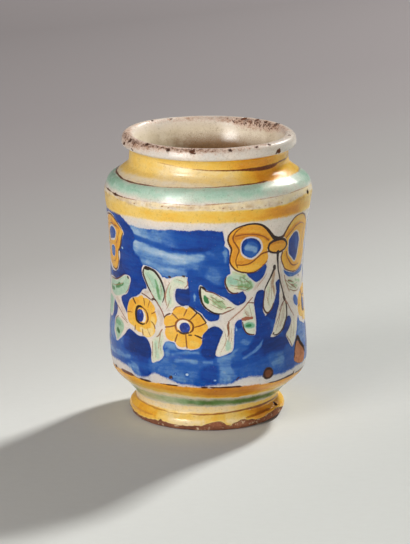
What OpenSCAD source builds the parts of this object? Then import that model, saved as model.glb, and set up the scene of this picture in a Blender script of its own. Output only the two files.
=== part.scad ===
// Albarello: a small wheel-thrown drug jar of red clay under a tin glaze that is
// painted in bands, ribbon bows and flower swags. The clay is one thrown vessel;
// every glaze zone is a separate thin coat that lies on it, edge to edge with the
// next zone. Millimetres, +Z up, origin at the centre of the foot on the table.

/* [Overall] */
// Height from the table to the crest of the lip
jar_h = 149.5; // [148:0.5:152]
// Greatest radius, at the shoulder
shoulder_r = 54; // [53:0.1:55]
// Height of the greatest radius
shoulder_z = 118.5; // [117:0.5:120]

/* [Foot] */
// Radius of the foot ring
foot_r = 41.2; // [40:0.1:43]
// Height of the groove above the foot ring
groove_z = 8.8; // [8:0.1:10]
// Radius at the bottom of that groove
groove_r = 37.6; // [36.5:0.1:38.5]
// Inner radius of the ring that touches the table
contact_r = 33.5; // [31:0.5:35]
// Depth of the hollow under the foot
recess_d = 3; // [1.5:0.5:4]

/* [Wall] */
// Radius at the lower edge of the wall
carin_r = 51; // [50:0.1:52]
// Height of the lower edge of the wall
carin_z = 27.5; // [26.8:0.1:29]
// Radius of the waist, where the jar is slimmest for the hand
waist_r = 50.5; // [49:0.1:51.5]
// Height of the waist
waist_z = 75; // [70:1:80]
// Thickness of the thrown wall
wall_t = 5; // [4:0.25:6]
// Height of the inside floor
floor_z = 11; // [9:0.5:12]

/* [Neck and lip] */
// Radius of the neck under the lip
neck_r = 41.1; // [40.5:0.1:42]
// Height of the slimmest part of the neck
neck_z = 137; // [136:0.5:138]
// Greatest radius of the rolled lip
lip_r = 45; // [44:0.1:46]
// Height of the lip's greatest radius
lip_z = 146.4; // [145.8:0.1:146.8]
// Clear radius of the throat
throat_r = 37; // [35.5:0.1:37.5]

/* [Glaze] */
// Thickness of the glaze coat
glaze_t = 0.5; // [0.3:0.1:0.8]
// Height of the glaze's lower edge on the foot
glaze_foot_z = 3; // [2:0.5:5]
// Width of a painted ring line
line_w = 0.6; // [0.4:0.1:1]

/* [Decoration] */
// Azimuths of the ribbon bows, seen from above, from the front towards +X
bow_az = [46, 156, 265];
// Height of the bow knots
bow_z = 97; // [92:1:99]
// Width of one bow loop
loop_w = 26; // [22:1:28]
// Height of one bow loop
loop_h = 22; // [18:1:23]
// Radius of a large flower
flower_r = 10.5; // [8:0.5:12]
// Radius of a flower's centre
flower_eye_r = 3.4; // [2:0.2:4]
// Width of a garland stem
stem_w = 4; // [2:0.5:5]

/* [Hidden] */
$fn = 96;

// Heights where one glaze zone meets the next, from the foot up
z_groove_line = groove_z - 0.2;
z_base_green0 = 13;
z_base_green1 = 18.2;
z_orange0 = 20.4;
z_carin_line = 26.2;
z_blue0 = 28.4;
z_blue1 = 109;
z_yellow0 = 112.6;
z_yellow1 = 118.6;
z_line2 = 121.2;
z_line3 = 129;
z_neck_yellow0 = 131.8;
z_neck_line = neck_z + 1.4;
z_rim0 = lip_z - 2.9;
z_lip_in = jar_h - 3;

// n points of a cubic curve, without its last point
function bez(a, b, c, d, n) = [for (i = [0 : n - 1]) let (t = i / n, s = 1 - t)
    s*s*s*a + 3*s*s*t*b + 3*s*t*t*c + t*t*t*d];

function unit(v) = v / norm(v);

// The straight slope of the shoulder, from its outer to its inner end
slope_a = [neck_r + 9.1, neck_z - 9.2];
slope_b = [neck_r + 2.8, neck_z - 5.1];
slope_u = unit(slope_b - slope_a);

// Outside of the finished jar, from the table up to the crest of the lip
OUT = concat(
    bez([foot_r - 0.3, 0], [foot_r + 0.2, 2], [foot_r + 0.2, 4], [foot_r - 0.2, 5.5], 4),
    bez([foot_r - 0.2, 5.5], [foot_r - 0.6, groove_z - 1.5], [groove_r + 0.3, groove_z - 1.2], [groove_r, groove_z], 5),
    bez([groove_r, groove_z], [groove_r, 12.5], [groove_r + 2.6, 14.8], [groove_r + 5.6, 18], 6),
    bez([groove_r + 5.6, 18], [groove_r + 8.4, 21], [carin_r - 0.4, carin_z - 3.7], [carin_r, carin_z], 6),
    bez([carin_r, carin_z], [carin_r + 2.4, carin_z + 8.5], [waist_r, waist_z - 20], [waist_r, waist_z], 7),
    bez([waist_r, waist_z], [waist_r, waist_z + 18.6], [shoulder_r - 1.2, shoulder_z - 8.9], [shoulder_r, shoulder_z], 7),
    bez([shoulder_r, shoulder_z], [shoulder_r + 0.2, shoulder_z + 3.5], slope_a - 2.4*slope_u, slope_a, 6),
    bez(slope_a, slope_a + 2*slope_u, slope_b - 2*slope_u, slope_b, 3),
    bez(slope_b, slope_b + 1.8*slope_u, [neck_r, neck_z - 3.4], [neck_r, neck_z - 1.5], 4),
    bez([neck_r, neck_z - 1.5], [neck_r, neck_z + 4], [neck_r + 0.4, lip_z - 3.6], [neck_r + 1.8, lip_z - 3.1], 5),
    bez([neck_r + 1.8, lip_z - 3.1], [lip_r - 0.5, lip_z - 2.7], [lip_r, lip_z - 1.6], [lip_r, lip_z], 4),
    bez([lip_r, lip_z], [lip_r, lip_z + 1.9], [lip_r - 1.2, jar_h], [lip_r - 3.4, jar_h], 6));

// Inside of the finished jar, from the crest of the lip down to the floor's centre
in_sh = shoulder_r - wall_t - 0.3;
in_waist = waist_r - wall_t;
in_low = carin_r - wall_t + 0.6;
INS = concat(
    bez([lip_r - 3.4, jar_h], [lip_r - 5.4, jar_h], [throat_r + 1.2, jar_h - 1.2], [throat_r + 0.9, jar_h - 3.5], 6),
    bez([throat_r + 0.9, jar_h - 3.5], [throat_r + 0.6, jar_h - 5.5], [throat_r, jar_h - 6], [throat_r, neck_z + 5], 4),
    bez([throat_r, neck_z + 5], [throat_r, neck_z], [throat_r + 1.2, neck_z - 4], [throat_r + 4, neck_z - 8.5], 6),
    bez([throat_r + 4, neck_z - 8.5], [throat_r + 6.6, neck_z - 12.6], [in_sh - 0.2, shoulder_z + 3.5], [in_sh, shoulder_z - 3.5], 7),
    bez([in_sh, shoulder_z - 3.5], [in_sh - 0.3, shoulder_z - 14], [in_waist, waist_z + 20], [in_waist, waist_z], 6),
    bez([in_waist, waist_z], [in_waist, waist_z - 17], [in_low + 0.4, carin_z + 18], [in_low, carin_z + 6.5], 6),
    bez([in_low, carin_z + 6.5], [in_low - 1, carin_z - 0.5], [in_low - 8.6, floor_z + 0.5], [in_low - 20.6, floor_z + 0.5], 8),
    [[in_low - 20.6, floor_z + 0.5], [0, floor_z]]);

SKIN = concat(OUT, INS);
n_out = len(OUT);
n_skin = len(SKIN);

// Direction out of the clay at point i of the skin
function out_dir(i) = let (a = SKIN[max(i - 1, 0)], b = SKIN[min(i + 1, n_skin - 1)], d = unit(b - a)) [d[1], -d[0]];

// Surface of the clay: the skin moved inwards by the glaze's thickness
CLAY = [for (i = [0 : n_skin - 1])
    i == 0 ? [SKIN[0][0] - glaze_t, 0] :
    i == n_skin - 1 ? [0, SKIN[i][1] - glaze_t] :
    SKIN[i] - glaze_t * out_dir(i)];

// The two halves of skin and clay, each rising steadily from point to point
SKIN_OUT = [for (i = [0 : n_out]) SKIN[i]];
CLAY_OUT = [for (i = [0 : n_out]) CLAY[i]];
SKIN_IN = [for (i = [n_skin - 1 : -1 : n_out]) SKIN[i]];
CLAY_IN = [for (i = [n_skin - 1 : -1 : n_out]) CLAY[i]];

function turned(l) = [for (i = [len(l) - 1 : -1 : 0]) l[i]];
// Point of a rising line at height z
function at(l, z) = let (k = [for (i = [0 : len(l) - 2]) if (l[i][1] <= z && z <= l[i + 1][1]) i][0],
    a = l[k], b = l[k + 1]) [a[0] + (b[0] - a[0]) * (z - a[1]) / (b[1] - a[1]), z];
// The stretch of a rising line from height z0 to z1
function stretch(l, z0, z1) = concat([at(l, z0)], [for (p = l) if (p[1] > z0 + 0.02 && p[1] < z1 - 0.02) p], [at(l, z1)]);
function above(l, z0) = concat([at(l, z0)], [for (p = l) if (p[1] > z0 + 0.02) p]);
function below(l, z1) = concat([for (p = l) if (p[1] < z1 - 0.02) p], [at(l, z1)]);

// A ring of glaze on the outside, from height z0 to z1
module coat(z0, z1) {
    rotate_extrude()
        polygon(concat(stretch(SKIN_OUT, z0, z1), turned(stretch(CLAY_OUT, z0, z1))));
}

// ---- painted motifs, each drawn flat and pushed out through the wall ----

// Pushes a flat shape out from the jar's axis at azimuth az and height z
module at_wall(az, z) {
    rotate([0, 0, az]) translate([0, 0, z]) rotate([90, 0, 0]) linear_extrude(height = shoulder_r + 20) children();
}

// Swag flowers: azimuth, height, size against flower_r
FLOWERS = [[-43, 61, 0.95], [-13, 57.5, 1.05], [82, 59, 0.95], [113, 57, 1.05], [194, 61, 0.95], [226, 57.5, 1.05]];
// Leaves: azimuth, height, length, width, lean from straight up
LEAVES = concat(
    [for (a = [-28, 97, 210]) each [[a - 3, 77, 17, 6, 20], [a + 9, 79, 15, 7, -35], [a, 45, 15, 6, 8]]],
    [for (a = [3, 128, 241]) each [[a + 6, 74, 17, 7, -70], [a + 4, 50, 16, 6, 20], [a + 20, 86, 15, 7, -48]]],
    [for (b = bow_az) each [[b - 12, 70, 18, 5.5, 18], [b + 9, 68, 18, 5.5, -14], [b - 3, 58, 16, 5.5, 10]]],
    [for (b = bow_az) each [[b + 36, 80, 14, 6, 25], [b + 18, 82, 13, 6, 40]]]);

function ring_pts(rx, ry, n, w = 0) = [for (i = [0 : n - 1]) let (t = 360 * i / n, k = 1 + w * cos(8 * t)) [rx * k * cos(t), ry * k * sin(t)]];
function leaf_pts(l, w) = [[0, -l/2], [w/2*0.8, -l/6], [w/2, l/10], [w/4, l/3], [0, l/2], [-w/4, l/3], [-w/2, l/10], [-w/2*0.8, -l/6]];

module one_loop(side) {
    translate([side * (loop_w/2 + 2.5), 0.5]) rotate(side * 14) difference() {
        polygon(ring_pts(loop_w/2, loop_h/2, 16));
        polygon(ring_pts(loop_w/2 - 5.5, loop_h/2 - 5.5, 12));
    }
}
module bow_shapes() {
    for (a = bow_az) for (s = [-1, 1]) at_wall(a + s * 15, bow_z) translate([-s * 14.5, 0]) one_loop(s);
}
module knot_shapes() {
    for (a = bow_az) at_wall(a, bow_z) polygon(ring_pts(4.8, 3.4, 12));
}
module petal_shapes() {
    for (f = FLOWERS) at_wall(f[0], f[1]) polygon(ring_pts(flower_r * f[2], flower_r * f[2], 24, 0.06));
}
module eye_shapes() {
    for (f = FLOWERS) at_wall(f[0], f[1]) polygon(ring_pts(flower_eye_r * f[2], flower_eye_r * f[2], 12));
}
module leaf_shapes() {
    for (l = LEAVES) at_wall(l[0], l[1]) rotate(l[4]) polygon(leaf_pts(l[2], l[3]));
}
// Swags: from a bow down to the flowers, in short straight lengths
SWAGS = concat(
    [for (b = bow_az) each [[b - 4, 90, b - 36, 60], [b + 4, 90, b + 36, 62]]]);
function swag_at(s, t) = let (u = t * (2 - t)) [s[0] + (s[2] - s[0]) * t, s[1] + (s[3] - s[1]) * u];
module stem_shapes() {
    n = 4;
    for (s = SWAGS) for (i = [0 : n - 1]) let (p = swag_at(s, i / n), q = swag_at(s, (i + 1) / n),
        dx = (q[0] - p[0]) * PI / 180 * waist_r, dz = q[1] - p[1], l = norm([dx, dz]))
        at_wall((p[0] + q[0]) / 2, (p[1] + q[1]) / 2) rotate(atan2(dz, dx))
            translate([-l/2 - 0.6, -stem_w/2]) square([l + 1.2, stem_w]);
}

// ---- pieces ----

// The thrown vessel of red clay: foot ring, coved base, waisted wall, shoulder, neck and rolled lip
module clay_body() {
    color("#96593a") rotate_extrude()
        polygon(concat(CLAY, [[0, recess_d], [contact_r - 4.5, recess_d - 0.4], [contact_r - 1.2, recess_d - 1.4], [contact_r, 0]]));
}
// Plain lining of the inside, from the lip to the floor
module inner_glaze() {
    color("#cdc3aa") rotate_extrude()
        polygon(concat(below(SKIN_IN, z_lip_in), turned(below(CLAY_IN, z_lip_in))));
}
// White glaze over the rolled lip
module rim_glaze() {
    color("#e1d7cd") rotate_extrude()
        polygon(concat(above(SKIN_OUT, z_rim0), turned([for (p = above(SKIN_IN, z_lip_in)) if (p != SKIN[n_out]) p]),
                       above(CLAY_IN, z_lip_in), turned([for (p = above(CLAY_OUT, z_rim0)) if (p != CLAY[n_out]) p])));
}
module neck_yellow_glaze() {
    color("#ecbe5a") { coat(z_neck_yellow0, z_neck_line); coat(z_neck_line + 2*line_w, z_rim0); }
}
module neck_cream_glaze() { color("#e4d2a8") coat(z_line3 + line_w, z_neck_yellow0); }
module shoulder_green_band() { color("#a0cdb9") coat(z_line2 + line_w, z_line3); }
module shoulder_cream_band() { color("#e6d9b4") coat(z_yellow1, z_line2); }
module shoulder_yellow_band() { color("#ecbe5a") coat(z_yellow0, z_yellow1); }
// Bare white glaze of the wall: the margins over and under the blue, and the swag stems
module white_ground() {
    color("#e6e0da") {
        coat(z_carin_line + line_w, z_blue0);
        coat(z_blue1, z_yellow0);
        difference() {
            intersection() { coat(z_blue0, z_blue1); stem_shapes(); }
            bow_shapes(); knot_shapes(); petal_shapes(); leaf_shapes();
        }
    }
}
// Blue that fills the wall around the motifs
module cobalt_ground() {
    color("#2a4a9a") difference() {
        coat(z_blue0, z_blue1);
        stem_shapes(); bow_shapes(); knot_shapes(); petal_shapes(); leaf_shapes();
    }
}
module ribbon_bows() {
    color("#f0a537") difference() {
        intersection() { coat(z_blue0, z_blue1); bow_shapes(); }
        knot_shapes();
    }
}
module bow_knots() { color("#e58f2c") intersection() { coat(z_blue0, z_blue1); knot_shapes(); } }
module flower_petals() {
    color("#f0a537") difference() {
        intersection() { coat(z_blue0, z_blue1); petal_shapes(); }
        eye_shapes();
    }
}
module flower_centres() { color("#6f8fc8") intersection() { coat(z_blue0, z_blue1); eye_shapes(); } }
module leaf_sprigs() {
    color("#9fc4a8") difference() {
        intersection() { coat(z_blue0, z_blue1); leaf_shapes(); }
        bow_shapes(); knot_shapes(); petal_shapes();
    }
}
module base_orange_band() { color("#d78c32") coat(z_orange0, z_carin_line); }
module base_green_band() { color("#5a965a") coat(z_base_green0, z_base_green1); }
module base_cream_bands() {
    color("#dccfa6") { coat(z_groove_line + line_w, z_base_green0); coat(z_base_green1, z_orange0); }
}
module foot_yellow_glaze() { color("#dfa246") coat(glaze_foot_z, z_groove_line); }
// Dark ring lines between the bands
module manganese_lines() {
    color("#3c2314") {
        for (z = [z_groove_line, z_carin_line, z_line2, z_line3]) coat(z, z + line_w);
        coat(z_neck_line, z_neck_line + 2*line_w);
    }
}

clay_body();
inner_glaze();
rim_glaze();
neck_yellow_glaze();
neck_cream_glaze();
shoulder_green_band();
shoulder_cream_band();
shoulder_yellow_band();
white_ground();
cobalt_ground();
ribbon_bows();
bow_knots();
flower_petals();
flower_centres();
leaf_sprigs();
base_orange_band();
base_green_band();
base_cream_bands();
foot_yellow_glaze();
manganese_lines();
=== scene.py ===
# Albarello: a small waisted drug jar of tin-glazed, painted earthenware.
# The jar stands on a plain pale floor. Every visible piece is a thin coat of glaze, or the
# clay under it, modelled as a closed mesh; the decoration is drawn in angle and height on
# the wall (strokes and outlines with listed points) and coloured by node materials.
import math
import bpy
import numpy as np
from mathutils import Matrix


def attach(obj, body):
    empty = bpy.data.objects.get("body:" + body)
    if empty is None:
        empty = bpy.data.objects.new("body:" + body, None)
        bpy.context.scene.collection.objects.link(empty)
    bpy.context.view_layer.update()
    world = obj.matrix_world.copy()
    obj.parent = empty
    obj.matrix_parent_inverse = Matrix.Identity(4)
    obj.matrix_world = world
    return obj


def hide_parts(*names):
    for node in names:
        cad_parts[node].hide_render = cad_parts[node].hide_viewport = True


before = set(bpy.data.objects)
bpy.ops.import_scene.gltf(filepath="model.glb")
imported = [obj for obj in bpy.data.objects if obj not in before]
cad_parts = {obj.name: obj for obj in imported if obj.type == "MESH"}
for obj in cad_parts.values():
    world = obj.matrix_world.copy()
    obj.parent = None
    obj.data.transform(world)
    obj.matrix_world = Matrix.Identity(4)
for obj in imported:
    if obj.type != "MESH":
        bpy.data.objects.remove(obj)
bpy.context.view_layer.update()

PI = math.pi
KDEG = 51.0 * PI / 180.0          # millimetres round the wall for one degree

# ------------------------------------------------------------------ noise
def _hash(ix, iy, iz, seed):
    h = (ix * 73856093) ^ (iy * 19349663) ^ (iz * 83492791) ^ (seed * 374761393)
    h = h & 0xFFFFFFFF
    h = ((h ^ (h >> 13)) * 1274126177) & 0xFFFFFFFF
    h = ((h ^ (h >> 16)) * 2246822519) & 0xFFFFFFFF
    h = h ^ (h >> 15)
    return h.astype(np.float64) / 4294967295.0 * 2.0 - 1.0


def noise3(x, y, z, seed=1):
    x, y, z = np.broadcast_arrays(np.asarray(x, float), np.asarray(y, float), np.asarray(z, float))
    ix, iy, iz = np.floor(x).astype(np.int64), np.floor(y).astype(np.int64), np.floor(z).astype(np.int64)
    fx, fy, fz = x - ix, y - iy, z - iz
    ux, uy, uz = [f * f * f * (f * (f * 6 - 15) + 10) for f in (fx, fy, fz)]
    out = np.zeros_like(fx)
    for dx in (0, 1):
        wx = ux if dx else 1 - ux
        for dy in (0, 1):
            wy = uy if dy else 1 - uy
            for dz in (0, 1):
                wz = uz if dz else 1 - uz
                out += wx * wy * wz * _hash(ix + dx, iy + dy, iz + dz, seed)
    return out


def fbm(x, y, z, seed=1, octaves=3, gain=0.5):
    out, amp, tot, f = 0.0, 1.0, 0.0, 1.0
    for k in range(octaves):
        out = out + amp * noise3(np.asarray(x) * f, np.asarray(y) * f, np.asarray(z) * f, seed + 17 * k)
        tot += amp
        amp *= gain
        f *= 2.03
    return out / tot


def ring_noise(th, z, wave, seed, octaves=2):
    """Noise on the wall, in waves of so many millimetres, that closes on itself round the jar."""
    a = np.radians(th)
    return fbm(51 * np.sin(a) / wave, -51 * np.cos(a) / wave, np.asarray(z) / wave, seed, octaves)


def sstep(a, b, x):
    t = np.clip((np.asarray(x, float) - a) / (b - a), 0, 1)
    return t * t * (3 - 2 * t)


def around(th, pts):
    """A value round the jar from (degrees, value) pairs."""
    p = np.array(sorted(pts), float)
    return np.interp(th, p[:, 0], p[:, 1], period=360)


# ------------------------------------------------------------------ profile (mm)
jar_h, shoulder_r, shoulder_z = 149.5, 54.0, 118.5
foot_r, groove_z, groove_r, contact_r, recess_d = 41.2, 8.8, 37.6, 33.5, 3.0
carin_r, carin_z, waist_r, waist_z, wall_t, floor_z = 51.0, 27.5, 50.5, 75.0, 5.0, 11.0
neck_r, neck_z, lip_r, lip_z, throat_r = 41.1, 137.0, 45.0, 146.4, 37.0
GLAZE = 0.5


def bez(a, b, c, d, n=40):
    t = np.arange(n)[:, None] / n
    s = 1 - t
    a, b, c, d = [np.array(v, float) for v in (a, b, c, d)]
    return s**3 * a + 3 * s * s * t * b + 3 * s * t * t * c + t**3 * d


in_sh, in_waist, in_low = shoulder_r - wall_t - 0.3, waist_r - wall_t, carin_r - wall_t + 0.6
slope_a, slope_b = np.array([neck_r + 9.1, neck_z - 9.2]), np.array([neck_r + 2.8, neck_z - 5.1])
slope_u = (slope_b - slope_a) / np.linalg.norm(slope_b - slope_a)
SKIN = np.vstack([
    bez([foot_r - 0.3, 0], [foot_r + 0.2, 2], [foot_r + 0.2, 4], [foot_r - 0.2, 5.5]),
    bez([foot_r - 0.2, 5.5], [foot_r - 0.6, groove_z - 1.5], [groove_r + 0.3, groove_z - 1.2], [groove_r, groove_z]),
    bez([groove_r, groove_z], [groove_r, 12.5], [groove_r + 2.6, 14.8], [groove_r + 5.6, 18]),
    bez([groove_r + 5.6, 18], [groove_r + 8.4, 21], [carin_r - 0.4, carin_z - 3.7], [carin_r, carin_z]),
    bez([carin_r, carin_z], [carin_r + 2.4, carin_z + 8.5], [waist_r, waist_z - 20], [waist_r, waist_z]),
    bez([waist_r, waist_z], [waist_r, waist_z + 18.6], [shoulder_r - 1.2, shoulder_z - 8.9], [shoulder_r, shoulder_z]),
    bez([shoulder_r, shoulder_z], [shoulder_r + 0.2, shoulder_z + 3.5], slope_a - 2.4 * slope_u, slope_a),
    bez(slope_a, slope_a + 2 * slope_u, slope_b - 2 * slope_u, slope_b),
    bez(slope_b, slope_b + 1.8 * slope_u, [neck_r, neck_z - 3.4], [neck_r, neck_z - 1.5]),
    bez([neck_r, neck_z - 1.5], [neck_r, neck_z + 4], [neck_r + 0.4, lip_z - 3.6], [neck_r + 1.8, lip_z - 3.1]),
    bez([neck_r + 1.8, lip_z - 3.1], [lip_r - 0.5, lip_z - 2.7], [lip_r, lip_z - 1.6], [lip_r, lip_z]),
    bez([lip_r, lip_z], [lip_r, lip_z + 1.9], [lip_r - 1.2, jar_h], [lip_r - 3.4, jar_h]),
    bez([lip_r - 3.4, jar_h], [lip_r - 5.2, jar_h], [throat_r + 2.0, jar_h - 1.2], [throat_r + 1.4, jar_h - 3.2]),
    bez([throat_r + 1.4, jar_h - 3.2], [throat_r + 0.8, jar_h - 5.6], [throat_r - 0.6, neck_z + 4], [throat_r - 0.8, neck_z]),
    bez([throat_r - 0.8, neck_z], [throat_r - 0.9, neck_z - 3.5], [throat_r + 1.0, neck_z - 6.0], [throat_r + 4, neck_z - 9.6]),
    bez([throat_r + 4, neck_z - 9.6], [throat_r + 6.8, neck_z - 13.2], [in_sh - 0.2, shoulder_z + 3.5], [in_sh, shoulder_z - 3.5]),
    bez([in_sh, shoulder_z - 3.5], [in_sh - 0.3, shoulder_z - 14], [in_waist, waist_z + 20], [in_waist, waist_z]),
    bez([in_waist, waist_z], [in_waist, waist_z - 17], [in_low + 0.4, carin_z + 18], [in_low, carin_z + 6.5]),
    bez([in_low, carin_z + 6.5], [in_low - 1, carin_z - 0.5], [in_low - 8.6, floor_z + 0.5], [in_low - 20.6, floor_z + 0.5]),
    bez([in_low - 20.6, floor_z + 0.5], [18, floor_z + 0.4], [8, floor_z], [0.0, floor_z]),
    np.array([[0.0, floor_z]])])
SLEN = np.concatenate([[0], np.cumsum(np.hypot(*np.diff(SKIN, axis=0).T))])
S_END = SLEN[-1]
_t = np.gradient(SKIN, SLEN, axis=0)
_t /= np.linalg.norm(_t, axis=1)[:, None] + 1e-12
S_CREST = SLEN[int(np.argmax(SKIN[:, 1]))]
_up = SLEN <= S_CREST


def s_out(z):
    """Length along the outside, from the table, at height z."""
    return np.interp(z, SKIN[_up, 1], SLEN[_up])


def s_in(z):
    """The same on the inside of the jar."""
    m = ~_up
    return np.interp(-np.asarray(z, float), -SKIN[m, 1], SLEN[m])


def prof(s):
    r = np.interp(s, SLEN, SKIN[:, 0])
    z = np.interp(s, SLEN, SKIN[:, 1])
    tr = np.interp(s, SLEN, _t[:, 0])
    tz = np.interp(s, SLEN, _t[:, 1])
    n = np.hypot(tr, tz) + 1e-12
    return r, z, tz / n, -tr / n


# ------------------------------------------------------------------ the potter's hand
# the jar does not stand quite true: sideways drift of its middle with height, smoothed
_lz = np.arange(0, 160, 0.5)
_lv = np.interp(_lz, [0, 11, 25, 45, 75, 118, 145, 160], [-0.3, -0.3, 0.9, 0.0, -0.6, 0.1, 0.5, 0.5])
_lk = np.exp(-(np.arange(-30, 31) * 0.5 / 6.0) ** 2)
_lv = np.convolve(np.pad(_lv, 30, mode="edge"), _lk / _lk.sum(), mode="valid")


def lean(z):
    return np.interp(z, _lz, _lv)


def foot_bevel(z, th):
    """How far the foot is cut back at its lower edge."""
    t = ((np.asarray(th, float) + 180) % 360) - 180
    b = 0.45 + 0.55 * sstep(22, 46, t) * (1 - sstep(105, 135, t))
    return 1.7 * np.clip(1 - np.asarray(z, float) / 2.6, 0, 1) ** 1.2 * b


# Chips and pits that are real dents: degrees, length along the skin, radius mm, depth mm
DENTS = [(-74, float(s_out(145.2)), 1.9, 0.9), (50.6, float(s_out(145.0)), 2.1, 0.8), (-66, S_CREST - 2.6, 1.7, 0.5),
         (-10.5, S_CREST - 2.6, 2.3, 0.45), (-27, S_CREST - 3.0, 1.3, 0.4), (-46, S_CREST - 1.8, 1.6, 0.4),
         (140, S_CREST + 0.4, 2.0, 0.5), (131, S_CREST + 1.5, 1.4, 0.5), (152, S_CREST + 1.0, 2.2, 0.45),
         (118, S_CREST + 0.4, 1.6, 0.4), (-150, S_CREST + 1.2, 1.1, 0.35), (-133, S_CREST + 0.8, 0.9, 0.3),
         (14, S_CREST - 2.6, 1.1, 0.32), (33, S_CREST - 2.0, 1.3, 0.35), (44, S_CREST - 1.6, 1.1, 0.32), (78, S_CREST - 0.3, 1.4, 0.35),
         (71, float(s_out(121.0)), 1.5, 0.7), (-61.5, float(s_out(121.1)), 0.9, 0.35),
         (65, float(s_out(37.4)), 5.2, 0.5), (59.2, float(s_out(27.4)), 0.9, 0.5), (35.8, float(s_out(31.4)), 2.6, -0.22),
         (-22, float(s_out(31.0)), 1.1, 0.3), (-12.3, float(s_out(33.2)), 0.8, 0.2), (-71.5, float(s_out(28.0)), 1.2, 0.4),
         (66, float(s_out(7.4)), 1.3, 0.8), (-36, float(s_out(3.4)), 1.2, 0.55), (205, float(s_out(40.0)), 2.2, 0.4),
         (170, float(s_out(121.0)), 1.6, 0.5), (238, float(s_out(7.0)), 1.8, 0.7), (300, float(s_out(144.4)), 1.3, 0.6)]


def skin_offset(s, th):
    """How far the surface stands out from the drawn profile, in mm."""
    a = np.radians(th)
    r, z, nr, nz = prof(s)
    x, y = r * np.sin(a), -r * np.cos(a)
    calm = 1 - 0.62 * sstep(3.0, 14.0, s - S_CREST)
    d = 0.20 * fbm(x / 24, y / 24, s / 24, 5, 2) * calm
    d = d + 0.07 * fbm(x / 7, y / 7, s / 5, 9, 2) * calm
    spiral = s / 7.3 + th / 360.0                       # throwing rings climb in a spiral
    d = d + 0.055 * np.sin(2 * PI * spiral + 1.2 * noise3(x / 40, y / 40, s / 40, 21)) * sstep(20, 40, s)
    # the neck narrows a little towards the lip
    d = d + np.where(s < S_CREST, np.interp(z, [130.0, 132.0, 134.5, 141.0, 142.6, 145.0], [0, 0.12, 0.42, -0.28, -0.10, 0.0]), 0.0)
    # the shoulder swells a little
    d = d + np.where(s < S_CREST, 0.26 * np.exp(-((z - 126.4) / 2.7) ** 2), 0.0)
    # the lip hangs a little lower than the turned line
    d = d + 0.5 * np.exp(-((s - float(s_out(144.3))) / 1.7) ** 2)
    for (dt, ds, rad, dep) in DENTS:
        dx = (((th - dt + 180) % 360) - 180) * r * PI / 180
        q = np.hypot(dx, s - ds) / rad
        m = q < 1.9
        if np.any(m):
            q = q[m] * (1 + 0.42 * noise3(x[m] / 1.1, y[m] / 1.1, s[m] / 1.1, 33))
            d[m] -= dep * (1 - sstep(0.45, 1.0, q))
    return d


def shape_pts(s, th, lift=0.0):
    """Points of the skin (mm), lifted along its normal; the lip dips towards the front."""
    s, th = np.broadcast_arrays(np.asarray(s, float), np.asarray(th, float))
    shp = s.shape
    s, th = s.ravel(), th.ravel()
    r, z, nr, nz = prof(s)
    d = skin_offset(s, th) + np.broadcast_to(lift, shp).ravel()
    fade = np.clip(r / 8.0, 0, 1)
    rr = np.maximum(r + nr * d * fade, 0)
    zz = z + nz * d
    rr = rr - np.where(s < 20, foot_bevel(zz, th), 0.0)
    a = np.radians(th)
    up = sstep(60, 150, zz)
    oval = 1 + 0.0030 * np.cos(2 * (a - 0.9)) * (0.4 + up) + 0.002 * np.cos(3 * (a + 0.5)) * up
    x, y = rr * oval * np.sin(a), -rr * oval * np.cos(a)
    w = sstep(125, 142, zz)
    zz = zz + w * (2.2 * y / 42.0 - 0.2 * (y / 42.0) ** 2 + 0.12 * np.sin(3 * a + 0.7))
    x = x + lean(z)
    zz = np.where(zz < 1.2, np.maximum(zz, 0.0), zz)
    return np.stack([x, y, zz], -1).reshape(shp + (3,))


# ------------------------------------------------------------------ meshes
def nrm(v):
    return v / (np.linalg.norm(v, axis=-1, keepdims=True) + 1e-12)


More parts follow.
